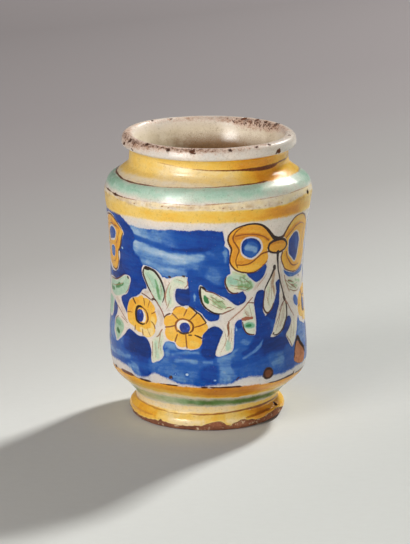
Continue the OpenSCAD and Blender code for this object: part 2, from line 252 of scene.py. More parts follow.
def build(name, S, TH, under, cells, mats, smooth_edge=None):
    """A closed coat. S, TH: rows x columns of skin length and degrees; under: rows for the clay side, from the
    last row back to the first, as (rows x columns) lengths with their lift. Returns the object."""
    R, C = S.shape
    lift = 0.0 if smooth_edge is None else smooth_edge
    P = shape_pts(S, TH, lift)
    ds, dt = 0.12, 0.15
    n = np.cross(shape_pts(S, TH + dt, lift) - shape_pts(S, TH - dt, lift), shape_pts(S + ds, TH, lift) - shape_pts(S - ds, TH, lift))
    N = nrm(n)
    rows = [P]
    for (Su, Lu) in under:
        rows.append(shape_pts(Su[None, :], TH[:1], Lu))
    V = np.vstack([q.reshape(-1, 3) for q in rows])
    T = sum(len(q) for q in rows)
    k = np.arange(T)[:, None]
    i = np.arange(C)[None, :]
    k2, i2 = (k + 1) % T, (i + 1) % C
    F = np.stack([k * C + i, k * C + i2, k2 * C + i2, k2 * C + i], -1).reshape(-1, 4)
    outer = np.zeros((T, C), bool)
    outer[:R - 1] = True
    outer = outer.ravel()
    me = bpy.data.meshes.new(name)
    me.vertices.add(len(V))
    me.vertices.foreach_set("co", (V / 1000.0).astype(np.float32).ravel())
    me.loops.add(F.size)
    me.loops.foreach_set("vertex_index", F.astype(np.int32).ravel())
    me.polygons.add(len(F))
    me.polygons.foreach_set("loop_start", np.arange(0, F.size, 4, dtype=np.int32))
    me.polygons.foreach_set("loop_total", np.full(len(F), 4, np.int32))
    me.polygons.foreach_set("use_smooth", np.ones(len(F), bool))
    me.update(calc_edges=True)
    # unfolded map: the ring cut into strips that fill a square, the hidden side in a thin strip below
    uv = me.uv_layers.new(name="OFBake")
    cu, cv = cells
    ns = cu * cv
    strip = (np.arange(C) * ns) // C
    c0 = (strip * C) // ns
    c1 = ((strip + 1) * C) // ns
    f0 = (np.arange(C) - c0) / (c1 - c0)
    f1 = (np.arange(C) + 1 - c0) / (c1 - c0)
    pad, base = 0.006, 0.05
    ch = (1 - base) / cv
    ux = (strip % cu) / cu
    vy = base + (strip // cu) * ch
    U0, U1 = ux + pad + f0 * (1 / cu - 2 * pad), ux + pad + f1 * (1 / cu - 2 * pad)
    g = np.arange(T) / max(R - 1, 1)
    V0 = vy[None, :] + pad + g[:, None] * (ch - 2 * pad)
    V1 = vy[None, :] + pad + (g[:, None] + 1 / max(R - 1, 1)) * (ch - 2 * pad)
    UV = np.zeros((T, C, 4, 2))
    UV[..., 0, 0], UV[..., 1, 0], UV[..., 2, 0], UV[..., 3, 0] = U0, U1, U1, U0
    UV[..., 0, 1], UV[..., 1, 1], UV[..., 2, 1], UV[..., 3, 1] = V0, V0, V1, V1
    h = (np.arange(T) - (R - 1)) / max(T - R + 1, 1)
    hs = 1 / max(T - R + 1, 1)
    hid = np.arange(T) >= R - 1
    bu0, bu1 = np.arange(C) / C, (np.arange(C) + 1) / C
    UV[hid, :, 0, 0], UV[hid, :, 1, 0], UV[hid, :, 2, 0], UV[hid, :, 3, 0] = bu0, bu1, bu1, bu0
    lo = (0.002 + 0.04 * h[hid])[:, None] * np.ones(C)
    hi = (0.002 + 0.04 * (h[hid] + hs))[:, None] * np.ones(C)
    UV[hid, :, 0, 1], UV[hid, :, 1, 1], UV[hid, :, 2, 1], UV[hid, :, 3, 1] = lo, lo, hi, hi
    uv.data.foreach_set("uv", UV.reshape(-1, 2).astype(np.float32).ravel())
    # shading normals from the drawn surface, so that one coat runs into the next with no seam
    fv = V[F]
    fn = nrm(np.cross(fv[:, 2] - fv[:, 0], fv[:, 3] - fv[:, 1]))
    LN = np.repeat(fn[:, None, :], 4, 1)
    Nf = N.reshape(-1, 3)
    LN[outer] = Nf[F[outer]]
    me.normals_split_custom_set(LN.reshape(-1, 3).astype(np.float32))
    ob = bpy.data.objects.new(name, me)
    bpy.context.scene.collection.objects.link(ob)
    for m in mats:
        me.materials.append(m)
    return ob, P, N


def put_attrs(ob, R, C, fields):
    me = ob.data
    nv = len(me.vertices)
    for key, (arr, rest) in fields.items():
        at = me.attributes.new(key, "FLOAT", "POINT")
        buf = np.full(nv, rest, np.float32)
        buf[:R * C] = np.asarray(arr, np.float32).ravel()
        at.data.foreach_set("value", buf)


# ------------------------------------------------------------------ drawing on the wall
def crv(P, closed, m=7):
    P = np.array(P, float)
    n = len(P)
    if n < 3 and not closed:
        t = np.linspace(0, 1, m + 1)[:, None]
        return P[0] * (1 - t) + P[-1] * t
    out = []
    idx = range(n) if closed else range(n - 1)
    for k in idx:
        if closed:
            p0, p1, p2, p3 = P[(k - 1) % n], P[k], P[(k + 1) % n], P[(k + 2) % n]
        else:
            p1, p2 = P[k], P[k + 1]
            p0 = P[k - 1] if k > 0 else 2 * p1 - p2
            p3 = P[k + 2] if k + 2 < n else 2 * p2 - p1
        t = (np.arange(m) / m)[:, None]
        out.append(0.5 * ((2 * p1) + (-p0 + p2) * t + (2 * p0 - 5 * p1 + 4 * p2 - p3) * t**2 + (-p0 + 3 * p1 - 3 * p2 + p3) * t**3))
    if not closed:
        out.append(P[-1:])
    return np.vstack(out)

class Sheet:
    """Fields of the painting at a set of wall points (degrees, mm)."""
    FAR = 6.0

    def __init__(self, th, z):
        self.shape = th.shape
        self.th, self.z = th.ravel().astype(float), z.ravel().astype(float)
        n = len(self.th)
        wob = 0.13
        self.wth = self.th + wob / KDEG * ring_noise(self.th, self.z, 3.0, 71)
        self.wz = self.z + wob * ring_noise(self.th, self.z, 3.0, 72)
        F = self.FAR
        self.f = {k: np.full(n, F) for k in ("ground", "reserve", "hole", "yel", "grn", "line", "eye", "wht", "chip", "red")}
        self.tone = {"blue": np.full(n, 0.60), "yel": np.full(n, 0.45), "grn": np.full(n, 0.2), "line": np.full(n, 0.8), "chip": np.full(n, 0.5), "hue": np.full(n, 0.2), "brn": np.zeros(n)}

    def _near(self, P, reach):
        c = P[:, 0].mean()
        x = (((self.wth - c + 180) % 360) - 180) * KDEG
        X, Y = (P[:, 0] - c) * KDEG, P[:, 1]
        m = (x > X.min() - reach) & (x < X.max() + reach) & (self.wz > Y.min() - reach) & (self.wz < Y.max() + reach)
        return np.nonzero(m)[0], x, X, Y

    def poly_sd(self, pts, reach=3.0, hw=None, m=5):
        pts = np.array(pts, float)
        if hw is None:
            P = crv(pts, True, m)
        else:
            Q = np.column_stack([pts, np.broadcast_to(hw, len(pts))])
            Q = crv(Q, False, m)
            P, H = Q[:, :2], np.maximum(Q[:, 2], 0.02)
        idx, x, X, Y = self._near(P, reach + (0 if hw is None else float(np.max(H))))
        if len(idx) == 0:
            return idx, np.zeros(0)
        px, py = x[idx], self.wz[idx]
        if hw is None:
            X2, Y2 = np.roll(X, -1), np.roll(Y, -1)
        else:
            X, Y, X2, Y2, H1, H2 = X[:-1], Y[:-1], X[1:], Y[1:], H[:-1], H[1:]
        best = np.full(len(idx), 1e9)
        ins = np.zeros(len(idx), bool)
        for k in range(len(X)):
            ex, ey = X2[k] - X[k], Y2[k] - Y[k]
            ax, ay = px - X[k], py - Y[k]
            t = np.clip((ax * ex + ay * ey) / (ex * ex + ey * ey + 1e-12), 0, 1)
            ax = ax - t * ex
            ay = ay - t * ey
            d = ax * ax + ay * ay
            if hw is not None:
                d = np.sqrt(d) - (H1[k] * (1 - t) + H2[k] * t)
            else:
                cr = ((Y[k] > py) != (Y2[k] > py)) & (px < ex * (py - Y[k]) / (ey + (1e-12 if ey >= 0 else -1e-12)) + X[k])
                ins ^= cr
            best = np.minimum(best, d)
        if hw is None:
            best = np.sqrt(best)
            best = np.where(ins, -best, best)
        return idx, best

    def fill(self, key, pts, tone=None, tkey=None, hw=None, edge=0.6, grow=0.0, m=5, hue=None):
        idx, sd = self.poly_sd(pts, hw=hw, m=m)
        sd = sd - grow
        self.f[key][idx] = np.minimum(self.f[key][idx], sd)
        w = 1 - sstep(0.0, edge, sd)
        if tone is not None:
            t = self.tone[tkey or key]
            t[idx] = t[idx] * (1 - w) + tone * w
        if hue is not None:
            t = self.tone["hue"]
            t[idx] = t[idx] * (1 - w) + hue * w
        return idx, sd

    def cut(self, key, pts, hw=None, grow=0.0):
        idx, sd = self.poly_sd(pts, hw=hw)
        self.f[key][idx] = np.maximum(self.f[key][idx], -(sd - grow))

    def shade(self, pts, tone, op=0.9, soft=1.4, hw=None, key="blue", rag=0.55):
        """A soft wash that changes the depth of a colour, as a shape or, with hw, as a brush stroke."""
        idx, sd = self.poly_sd(pts, reach=soft + 2.0, hw=hw, m=4)
        if len(idx) == 0:
            return
        n = ring_noise(self.th[idx], self.z[idx] * 3.0, 6.0, 91) + 0.6 * ring_noise(self.th[idx], self.z[idx], 2.0, 92)
        w = op * (1 - sstep(-0.35 * soft, 0.65 * soft, sd + rag * min(soft, 1.6) * n))
        t = self.tone[key]
        t[idx] = t[idx] * (1 - w) + tone * w


def off(pts, d):
    return [(p[0] + d,) + tuple(p[1:]) for p in pts]


def oval(cx, cz, ax, az, n=12):
    return [(cx + ax * math.cos(2 * PI * k / n), cz + az * math.sin(2 * PI * k / n)) for k in range(n)]


# ---- the motifs, as seen from the front: (degrees from the front, height in mm)
# white left bare round the left half of a bow, its stem and leaves
BARE_L = [(10.4, 114), (9, 104.6), (9.7, 101.6), (9.4, 99.8), (11, 98.7), (12.2, 97), (12.5, 94), (12.6, 90.5), (13.1, 87.5), (13.4, 86), (13.2, 85), (12, 84.7), (10.9, 83.2), (10.3, 81), (10.5, 79), (11.5, 77), (12.6, 75.5), (14, 75), (17, 75),
          (19, 75.5), (20, 76.4), (21, 76), (22, 74.5), (23.1, 73), (23, 71.5), (22, 70), (20, 69), (18, 68.6), (16, 69.2), (14, 70.5), (12, 72), (10, 73.2), (8, 73.8), (6, 74.4), (4, 75.2), (2, 75.8), (0, 76.6), (-1.5, 77.7), (-2.6, 79), (-3.8, 79.5),
          (-4.5, 78.4), (-4.3, 76), (-4, 73), (-3.4, 70.6), (-2, 68.5), (0, 66.8), (3, 65.3), (6, 64.7), (7.1, 64.3), (7.2, 63.4), (6.8, 62.3), (6, 61.6), (4, 61.2), (2, 61), (0.5, 61.4), (-0.8, 62.2), (-3, 60), (0.3, 57.3), (2, 58), (4, 58.5), (6, 58.1),
          (7.6, 57.2), (8.7, 56), (9, 55), (8, 52.5), (7, 50.5), (6, 48), (5, 45.8), (4.4, 44), (4.8, 43.2), (6, 43), (8, 43.3), (10, 43.9), (12, 44.6), (13.4, 45.4), (14.2, 47), (14.8, 50), (15, 53), (15.3, 56), (15.6, 57.6), (15.8, 59), (17, 60.6),
          (19, 61.4), (20.2, 61.1), (20.5, 59.5), (21, 56.5), (22.4, 54.1), (24.5, 53), (27.4, 52.5), (28.2, 53.5), (28.7, 56), (28.7, 60), (28.3, 64), (28, 67), (28, 70), (28.8, 72.5), (30, 74.5), (32, 75.3), (34, 75.2), (35.4, 74.6), (38, 79), (42, 86),
          (45.5, 90), (46.5, 101), (47, 114)]
# the same for its right half
BARE_R = [(44, 114), (43.5, 100), (41, 92), (36, 80), (35.2, 75), (35.6, 71), (35, 68), (34, 66), (34, 64), (35, 62.4), (35.3, 61.4), (37, 62.6), (39, 63.2), (41, 65), (42.5, 68), (43.8, 71), (44.3, 73.5), (43.5, 75.5), (43.3, 77), (45, 78.5), (46.5, 79),
          (47.3, 77.5), (47.3, 75), (47, 71), (46.8, 68), (46, 65), (44.5, 62), (43, 59), (42, 56), (40.5, 53), (38.6, 50.6), (39.5, 50), (42, 50), (45, 50.6), (48, 52), (50, 54), (51.5, 56.5), (52.7, 58), (54.5, 58.7), (56.3, 58), (57.3, 56), (56.5, 54),
          (55, 52), (53, 50.3), (51.3, 48.8), (52.5, 46.5), (54, 44), (55.6, 42.4), (57, 42), (58.5, 43.2), (60, 45), (62, 47.5), (63.5, 50), (64.5, 53), (66, 55.5), (68, 57), (72, 58.5), (76, 62), (78.5, 70), (79, 84), (79.5, 100), (78, 114)]
# the pair of flowers with the sprig over and under them
BARE_M = [(-53.6, 60), (-53.2, 62), (-52.8, 64), (-51.8, 66.5), (-50.5, 68.2), (-48.5, 69.3), (-47, 69.7), (-45, 70.4), (-43, 71.5), (-41.5, 72.6), (-40.4, 74), (-38.8, 75), (-37.4, 75.2), (-36.8, 76), (-37, 77.3), (-38.4, 79.2), (-39.8, 81.5), (-40.4, 84),
          (-40.2, 86), (-38.9, 87.4), (-37, 87.3), (-34.5, 87), (-32, 86.4), (-29.5, 85.4), (-27.5, 84), (-26, 82.4), (-25, 82.7), (-23.5, 82), (-22, 82.2), (-20.5, 82.6), (-19.5, 83), (-17, 83.4), (-14, 83.6), (-12, 83.6), (-10.9, 83.3), (-11.4, 82),
          (-11.3, 80), (-10.5, 78.2), (-12, 77.3), (-14, 77.8), (-16, 77.8), (-17.6, 77), (-18.3, 75), (-18.3, 72.5), (-17.5, 70.5), (-16, 69.2), (-14, 68.5), (-12, 68.8), (-10, 68.8), (-9, 68.2), (-7, 67), (-5, 66), (-3, 65), (-1.5, 63), (-0.5, 62),
          (0.5, 60), (0.3, 57.5), (-0.5, 56.3), (-2, 55), (-2.8, 53.5), (-3, 51.5), (-3.5, 49.5), (-4.5, 47.8), (-6, 46.8), (-9, 46.2), (-12, 46.4), (-15, 46.3), (-17.3, 46.8), (-18, 48), (-19, 49.4), (-20.5, 49.8), (-22, 50), (-24, 49.6), (-25, 48.6),
          (-26, 47), (-26.2, 45), (-25.4, 43), (-26, 41.5), (-27.5, 39.8), (-29, 38.8), (-31, 38.4), (-33.4, 37.6), (-33.2, 39.5), (-33.4, 42), (-34, 45), (-35, 47.6), (-36.5, 49.4), (-38, 50.3), (-40, 50.5), (-42, 50.2), (-44, 50.4), (-46, 51),
          (-48.5, 52), (-50.8, 52.7), (-52.5, 54.2), (-53.6, 57)]
# leaves and stem at the left-hand edge
BARE_E = [(-53.6, 60), (-56, 62.6), (-58, 64.2), (-59.5, 65.6), (-60, 66.8), (-59.5, 68), (-57, 69.2), (-54.5, 70.4), (-52.8, 72.6), (-51.3, 75), (-50, 77.3), (-50, 79), (-51.5, 80), (-54, 80.2), (-57, 79.6), (-60, 78.2), (-63, 76.8), (-66, 75.8),
          (-70, 76.2), (-76, 76), (-82, 74), (-82, 64), (-72, 65), (-68, 64), (-65.5, 63), (-64.5, 61.5), (-65, 59.5), (-66, 57.6), (-69, 54), (-70, 51), (-70, 48.5), (-68.5, 46), (-67, 44), (-66, 43.2), (-64, 43.8), (-60, 46), (-57, 48), (-55, 49.5),
          (-54, 50.8), (-52, 52.2), (-50.8, 52.7), (-48, 55), (-50, 58)]
LOOP_L = [(40.4, 101.4), (39, 102.6), (37.2, 104.4), (35, 106.4), (32.3, 108.3), (29, 109.6), (26, 110.1), (22, 109.9), (18, 109.1), (15, 108), (12.8, 106.4), (11.7, 104.8), (11.3, 103), (11.8, 101), (12.8, 99.2), (13.4, 97.6), (13.2, 95.6), (12.9, 93.5),
          (12.9, 91.5), (13.9, 89.3), (15.6, 87.6), (18, 86.3), (21, 85.5), (24.5, 85), (28, 85.2), (30.4, 86), (32.6, 87.5), (35, 88.8), (36.4, 90.4), (36.8, 92), (36.4, 93.8), (35.8, 96), (36.4, 98.4), (38.4, 100)]
HOLE_L = [(18.6, 98.5), (19, 101), (20.8, 103), (23.5, 103.7), (26.2, 103.5), (29.4, 102.5), (31.6, 100.4), (32.6, 97.6), (31.8, 95.2), (29.4, 93.1), (26.4, 91.8), (23.8, 92.1), (20.6, 93.5), (19, 95.4)]
BLUE_L = [(19.1, 98.5), (19.5, 100.8), (21.1, 102.4), (23.5, 103), (26, 102.8), (28.8, 101.7), (30.7, 99.8), (31.4, 97.5), (30.4, 95.6), (28.8, 93.9), (26, 92.6), (24, 92.8), (21.2, 94.2), (19.6, 95.8)]
LOOP_R = [(47.8, 101.6), (49.4, 103.6), (52, 106.4), (55, 108.7), (58, 110), (62, 110.5), (66.5, 110.2), (71, 108.6), (74.4, 106), (76.4, 102.5), (76.8, 99), (75.6, 96), (75.2, 92.5), (75.8, 89), (74.8, 85.5), (71.8, 82.7), (67.5, 81.2), (62, 81), (58, 81.7),
          (54.6, 82.7), (51.4, 84.1), (49.7, 86), (48, 88.5), (47.6, 90.4), (48.3, 92.8), (50.4, 94.4), (51.6, 96), (51.2, 98.4), (49.4, 100.2)]
HOLE_R = [(52.5, 96), (52.7, 98.7), (55.2, 101), (57.9, 102.5), (60.6, 102.7), (63.7, 101), (65.9, 97.7), (66, 94), (64.8, 89.6), (63, 86.6), (61, 85.9), (59.2, 86.9), (56.6, 88.7), (54, 90.8), (52.8, 93.2)]
BLUE_R = [(53, 96), (53.2, 98.5), (55.5, 100.5), (58, 101.9), (60.5, 102), (63, 100.5), (64.8, 97.5), (64.8, 94), (63.8, 90), (62.5, 87.3), (61, 86.6), (59.5, 87.5), (57, 89.3), (54.5, 91.3), (53.3, 93.5)]
KNOT = [(36.4, 96.8), (37.4, 98.7), (40, 99.8), (43.4, 100.2), (47, 99.9), (49.6, 98.8), (50.8, 96.9), (49.8, 95), (47.2, 93.9), (43.6, 93.5), (40.2, 93.9), (37.5, 95)]
UNDER_BOW = [(23, 84.5), (26, 85), (30, 85.3), (33, 88), (35, 88.6), (36.2, 87), (35.5, 84.5), (33.5, 81.5), (30, 79.8), (27, 81)]
# the right loop of the bow at the left-hand edge
LOOP_X = [(-75, 108.5), (-70, 108.8), (-66, 107.8), (-62, 106), (-58.5, 104.2), (-55.6, 102), (-57, 100.4), (-58.2, 98), (-59.6, 95), (-61, 93.2), (-62.4, 91.4), (-63, 89), (-62.6, 86.6), (-63.5, 84), (-65.2, 82), (-67.4, 81), (-71, 81.1), (-75, 82.2),
          (-80, 84), (-85, 88.5), (-89, 94), (-89, 98), (-86, 101.5), (-81, 106)]
HOLE_X = [(-64.4, 100), (-65, 102.4), (-68, 103.8), (-72, 103.6), (-77, 101.6), (-79, 98), (-77, 95), (-72, 95.4), (-67, 96.6)]
BLUE_X = [(-65.2, 100), (-66, 102), (-68.6, 103), (-72, 102.8), (-76, 101), (-77.8, 98), (-76, 96), (-72, 96.4), (-67.4, 97.4)]

FLOWER1 = [(-53.3, 61), (-53.1, 58.6), (-52.2, 56.7), (-50, 55.2), (-47.8, 54.7), (-46.2, 53.8), (-44.8, 52.6), (-43, 52.1), (-41, 52.2), (-40, 51.4), (-38, 50.6), (-36, 50.4), (-33.8, 51), (-32.2, 52.2), (-31, 54), (-30.9, 55.6), (-31.3, 56.6), (-30.4, 58),
           (-29.8, 60.5), (-30.2, 63), (-31.2, 64.4), (-31.2, 66.2), (-32.8, 68.2), (-35, 69.8), (-37.4, 70.6), (-38.8, 70.3), (-40, 71.4), (-42, 71.2), (-43.6, 70.2), (-45.2, 70), (-47, 69.4), (-48.2, 68.6), (-50, 68), (-51.7, 66.4), (-52.6, 64.4), (-52.8, 62.6)]
FLOWER2 = [(-19.8, 65.5), (-18.5, 67.2), (-16, 68), (-13.2, 68), (-11.8, 67.2), (-10, 68.2), (-8, 66.8), (-6.4, 65), (-4.3, 64.6), (-2.2, 62.6), (-1, 60.6), (0.3, 58.6), (0.2, 57.2), (-0.8, 56), (-2.5, 54.4), (-3.4, 52.6), (-3, 50.4), (-3.9, 48.6), (-5.6, 47.2),
           (-8, 46.7), (-10.4, 46.8), (-12, 47.8), (-14, 47.3), (-16, 47.6), (-17.6, 48.6), (-18.6, 50.2), (-21, 50.2), (-23.2, 51.2), (-24.5, 53.2), (-24.6, 55.4), (-24, 57), (-25.2, 58.5), (-25.3, 60.6), (-24, 62.6), (-21.6, 63.4), (-20.4, 64.2)]
LEAF_J = [(-38.4, 86.2), (-39.4, 84.4), (-39, 82), (-37, 78.6), (-35, 75.6), (-32.6, 72.4), (-30, 69.4), (-27.6, 66.5), (-26.4, 69), (-25, 72.6), (-25, 76.2), (-26.4, 79.4), (-28.6, 82.4), (-31.4, 84.6), (-34.6, 86)]
LEAF_K = [(-22.6, 66.8), (-23.6, 69), (-24.2, 72), (-23.5, 76), (-21.5, 80), (-19, 82.7), (-15.4, 83.4), (-12, 83.3), (-11.5, 81.5), (-11.2, 79), (-13, 77.8), (-17, 77.7), (-19, 75.7), (-19.3, 72), (-18.2, 69.4), (-19.6, 67.6)]
LEAF_I = [(-27.4, 54.6), (-30, 52), (-32, 50.6), (-33.2, 49), (-33, 45), (-33.4, 40.6), (-33, 38), (-30.5, 38.8), (-27.6, 40.6), (-25.9, 42.6), (-26.4, 46), (-25.6, 49), (-25.4, 52)]
LEAF_E = [(10.6, 82), (12, 84), (14, 84.9), (14.6, 86.6), (17.4, 86), (20.6, 85.4), (23, 84.4), (25, 82), (28.5, 79), (27.5, 77), (24, 75), (21.5, 76.2), (18, 75.4), (15, 75.2), (12.6, 76.6), (11, 79)]
LEAF_F = [(-3.8, 79), (-2.4, 78.6), (0, 76.5), (4, 75.4), (7, 74), (10, 72.4), (13, 70.4), (16, 68.6), (15.5, 67.2), (13, 66.2), (10.5, 65.5), (9, 65), (6, 65), (3, 66), (0, 67.7), (-2.4, 69.8), (-3.2, 72), (-3.6, 75)]
LEAF_G = [(26, 70), (22.6, 67.6), (20.8, 64.4), (20.6, 60), (21.1, 57), (22.5, 54.6), (24, 53.7), (26.5, 53.1), (27.5, 53.4), (28.2, 56), (28.5, 60), (28, 64), (27.4, 68)]
LEAF_H = [(12.6, 60.5), (10.2, 57.6), (8.8, 54.5), (7.2, 51), (5.8, 47.6), (4.8, 45), (5, 43.7), (8, 44), (11, 44.8), (13.3, 45.6), (14.3, 48), (14.7, 52), (14.9, 56), (14.1, 59.4)]
LEAF_A = [(41.6, 85), (39.6, 81.4), (37.6, 78.2), (35.9, 75.6), (35.4, 72), (34.6, 68), (34.6, 65.4), (36, 63.4), (38, 63.2), (40.4, 65), (42, 68), (43.4, 71.4), (43.6, 75), (43, 79), (42.6, 83)]
LEAF_B = [(51.3, 67.4), (50, 65.6), (47, 63), (44.4, 60), (42.8, 57), (41.2, 54), (39.8, 51.4), (39.2, 50.5), (41, 50.7), (44, 51.2), (46, 51.8), (49, 53.8), (51.3, 57), (52.7, 60), (52.9, 63), (52.2, 66)]
LEAF_C = [(51.6, 49), (54, 51.4), (57, 54), (60, 57.2), (62.6, 55.4), (64, 53), (62, 48), (60, 45.2), (57.4, 42.8), (55.6, 43.6), (53.2, 46.6)]
LEAF_D = [(50.6, 77.4), (56, 78.2), (63, 77.6), (70, 76), (75.5, 73.6), (72, 70.4), (66, 69.4), (60, 70.2), (55.6, 72.4), (52.6, 74.8)]
LEAF_L = [(-50.6, 78), (-52, 79.6), (-55, 79.6), (-59, 78.2), (-63, 76.4), (-66, 75.2), (-70, 75), (-75, 74.6), (-79, 72.6), (-77, 68.4), (-70, 66.6), (-64, 67.4), (-60, 68.6), (-57, 69.6), (-54, 70.6), (-52.3, 73), (-51.3, 75.4)]
LEAF_M = [(-69, 50), (-67.6, 54.3), (-64, 56.6), (-60, 55.8), (-57.2, 54.2), (-56.8, 51.5), (-59, 48.7), (-62, 45.8), (-65.5, 44), (-66.2, 46)]


def leaf(S, shape, d, tone, hue, grow=-0.15):
    S.fill("reserve", off(shape, d), grow=0.35)
    S.fill("grn", off(shape, d), tone, grow=grow, hue=hue, edge=0.9)


def paint_bow_left(S, d):
    """Left loop, knot and what hangs on the left of a bow."""
    S.fill("reserve", off(BARE_L, d), m=3)
    G = lambda p, w, t, h, o=0.85, s=1.0: (S.shade(off(p, d), t, o, s, hw=w, key="grn"), S.shade(off(p, d), h, o, s, hw=w, key="hue"))
    leaf(S, LEAF_E, d, 0.22, 0.3)
    G([(14, 86.4), (18, 85.8), (22, 84.6)], 0.9, 0.22, 0.95)
    G([(12.4, 83), (14, 81.4), (16.6, 80.6)], [1.0, 1.5, 1.0], 0.34, 0.05)
    G([(13, 77), (16, 76.6), (18, 77)], 1.1, 0.05, 0.9)
    for a, b in (((19.4, 82.6), (20.6, 78.4)), ((21.4, 83), (22.8, 78)), ((23.4, 81.8), (24.6, 77)), ((25.2, 80.6), (26.4, 77.4)), ((18, 81), (18.8, 78))):
        G([a, b], [0.2, 0.6], 0.56, 0.75, 0.6, 1.3)
    leaf(S, LEAF_F, d, 0.07, 0.6)
    G([(-1.2, 74), (-0.4, 72), (0.6, 70.6)], [0.4, 1.2, 0.6], 0.72, 0.05, 0.9, 0.6)
    for a, b in (((2.6, 74.2), (4.4, 70)), ((5, 73), (7, 68.6)), ((6.8, 72), (8.8, 68)), ((8.6, 71.2), (10.2, 68))):
        G([a, b], [0.2, 0.6], 0.50, 0.6, 0.6, 1.3)
    leaf(S, LEAF_G, d, 0.10, 0.35)
    G([(21.6, 58), (24, 57.8), (27, 57.4)], [0.9, 1.7, 1.0], 0.42, 0.0, 0.9, 0.9)
    G([(23, 57.8), (25, 57.8)], [0.5, 0.6], 0.68, 0.0, 0.9, 0.5)
    leaf(S, LEAF_H, d, 0.03, 0.5)
    G([(11.4, 51), (11.6, 48.4), (11, 46.6)], [0.5, 1.1, 0.6], 0.28, 0.1)
    S.fill("red", off([(20.6, 61.3), (22.6, 61.5), (24.6, 61.5), (26.4, 61.6)], d), hw=[0.7, 1.0, 0.8, 0.7])
    S.fill("yel", off(LOOP_L, d), 0.60)
    Y = lambda p, w, t, o=0.85, s=1.0: S.shade(off(p, d), t, o, s, hw=w, key="yel")
    Y([(15.4, 103.6), (19, 104.4), (24, 104.6), (29, 104), (33, 102.8), (36, 101)], [1.2, 1.3, 1.2, 0.9, 0.8, 0.7], 0.80)
    Y([(18, 108), (24, 108.6), (30, 107.6), (35, 104.6)], 0.9, 0.68, 0.7)
    Y([(13.6, 103.6), (14, 101), (15.6, 98.6), (15.4, 95), (14.8, 91.6)], 1.0, 0.72, 0.6)
    Y([(16, 88), (20, 87.2), (25, 87), (29, 88)], 1.2, 0.48, 0.8)
    Y([(18, 90.8), (22, 90.8), (26, 91.6), (30, 94)], 0.8, 0.76, 0.7)
    S.cut("yel", off(HOLE_L, d))
    S.fill("hole", off(BLUE_L, d), 0.52, "blue")
    S.shade(off([(19.8, 95.6), (20, 98.8), (21.4, 101.4)], d), 0.88, 0.9, 0.9, hw=0.9)
    S.shade(off([(24, 102.4), (28, 101.4), (30.6, 98.8), (30.2, 95.6)], d), 0.84, 0.9, 0.9, hw=0.8)
    S.shade(off([(22.8, 98), (25.4, 97.4), (27.6, 96.4)], d), 0.22, 0.9, 1.2, hw=1.2)
    S.fill("hole", off(UNDER_BOW, d), 0.80, "blue")
    S.fill("yel", off(KNOT, d), 0.62)
    Y([(39, 98.6), (43.4, 99), (48, 98.4)], 0.6, 0.78, 0.8, 0.7)
    L = lambda p, w, t: S.fill("line", off(p, d), t, hw=w)
    # outlines of the left loop
    L([(41.4, 101.1), (39.5, 102), (37.5, 104), (35, 106.3), (32, 108.5), (29, 109.7), (26, 110.3), (22, 110.1), (18, 109.3), (15, 108.2), (12.9, 106.7)], [0.9, 0.95, 0.85, 0.72, 0.62, 0.55, 0.5, 0.45, 0.42, 0.36, 0.34], 0.93)
    L([(12.9, 106.7), (11.7, 105), (11.2, 103), (11.7, 101), (12.8, 99.2), (13.4, 97.6), (13.1, 95.4), (12.8, 93), (12.9, 91.2), (13.9, 89.3), (15.6, 87.6), (18, 86.2), (21, 85.4), (24.5, 84.9), (28, 85.1), (30.4, 85.9), (32.6, 87.3)],
      [0.34, 0.42, 0.46, 0.42, 0.55, 0.48, 0.4, 0.36, 0.38, 0.40, 0.40, 0.38, 0.36, 0.34, 0.3, 0.3, 0.2], 0.84)
    L([(36.4, 100.8), (33.5, 102.6), (30, 104), (25, 104.9), (20, 105), (15.5, 104.4)], [0.36, 0.30, 0.24, 0.24, 0.26, 0.34], 0.60)
    L([(19, 109), (16, 107), (14.3, 104.6), (14.3, 102.3), (16, 100), (17.5, 98), (17.8, 96.5), (17, 94.5), (16.3, 92), (16.5, 90), (17.6, 88)], [0.2, 0.30, 0.40, 0.38, 0.34, 0.40, 0.36, 0.30, 0.30, 0.30, 0.22], 0.64)
    L([(17, 89.6), (20, 89.3), (24, 89.6), (27, 90.8), (30, 92.8), (32.5, 94.2), (35.5, 94.6), (37, 94.8)], [0.25, 0.32, 0.34, 0.36, 0.40, 0.42, 0.42, 0.4], 0.66)
    # the knot
    L([(36.4, 96.8), (37.4, 98.8), (40, 99.9), (43.4, 100.3), (47, 100), (49.7, 98.9), (51, 96.9), (49.9, 94.9), (47.2, 93.8), (43.6, 93.4), (40.2, 93.8), (37.4, 94.9), (36.3, 96.8)],
      [0.6, 0.64, 0.68, 0.8, 0.7, 0.66, 0.62, 0.5, 0.52, 0.55, 0.48, 0.52, 0.6], 0.92)
    L([(39.2, 102.1), (42, 101.1), (45, 100.9), (47.8, 101.6)], [0.85, 0.95, 0.85, 0.7], 0.95)
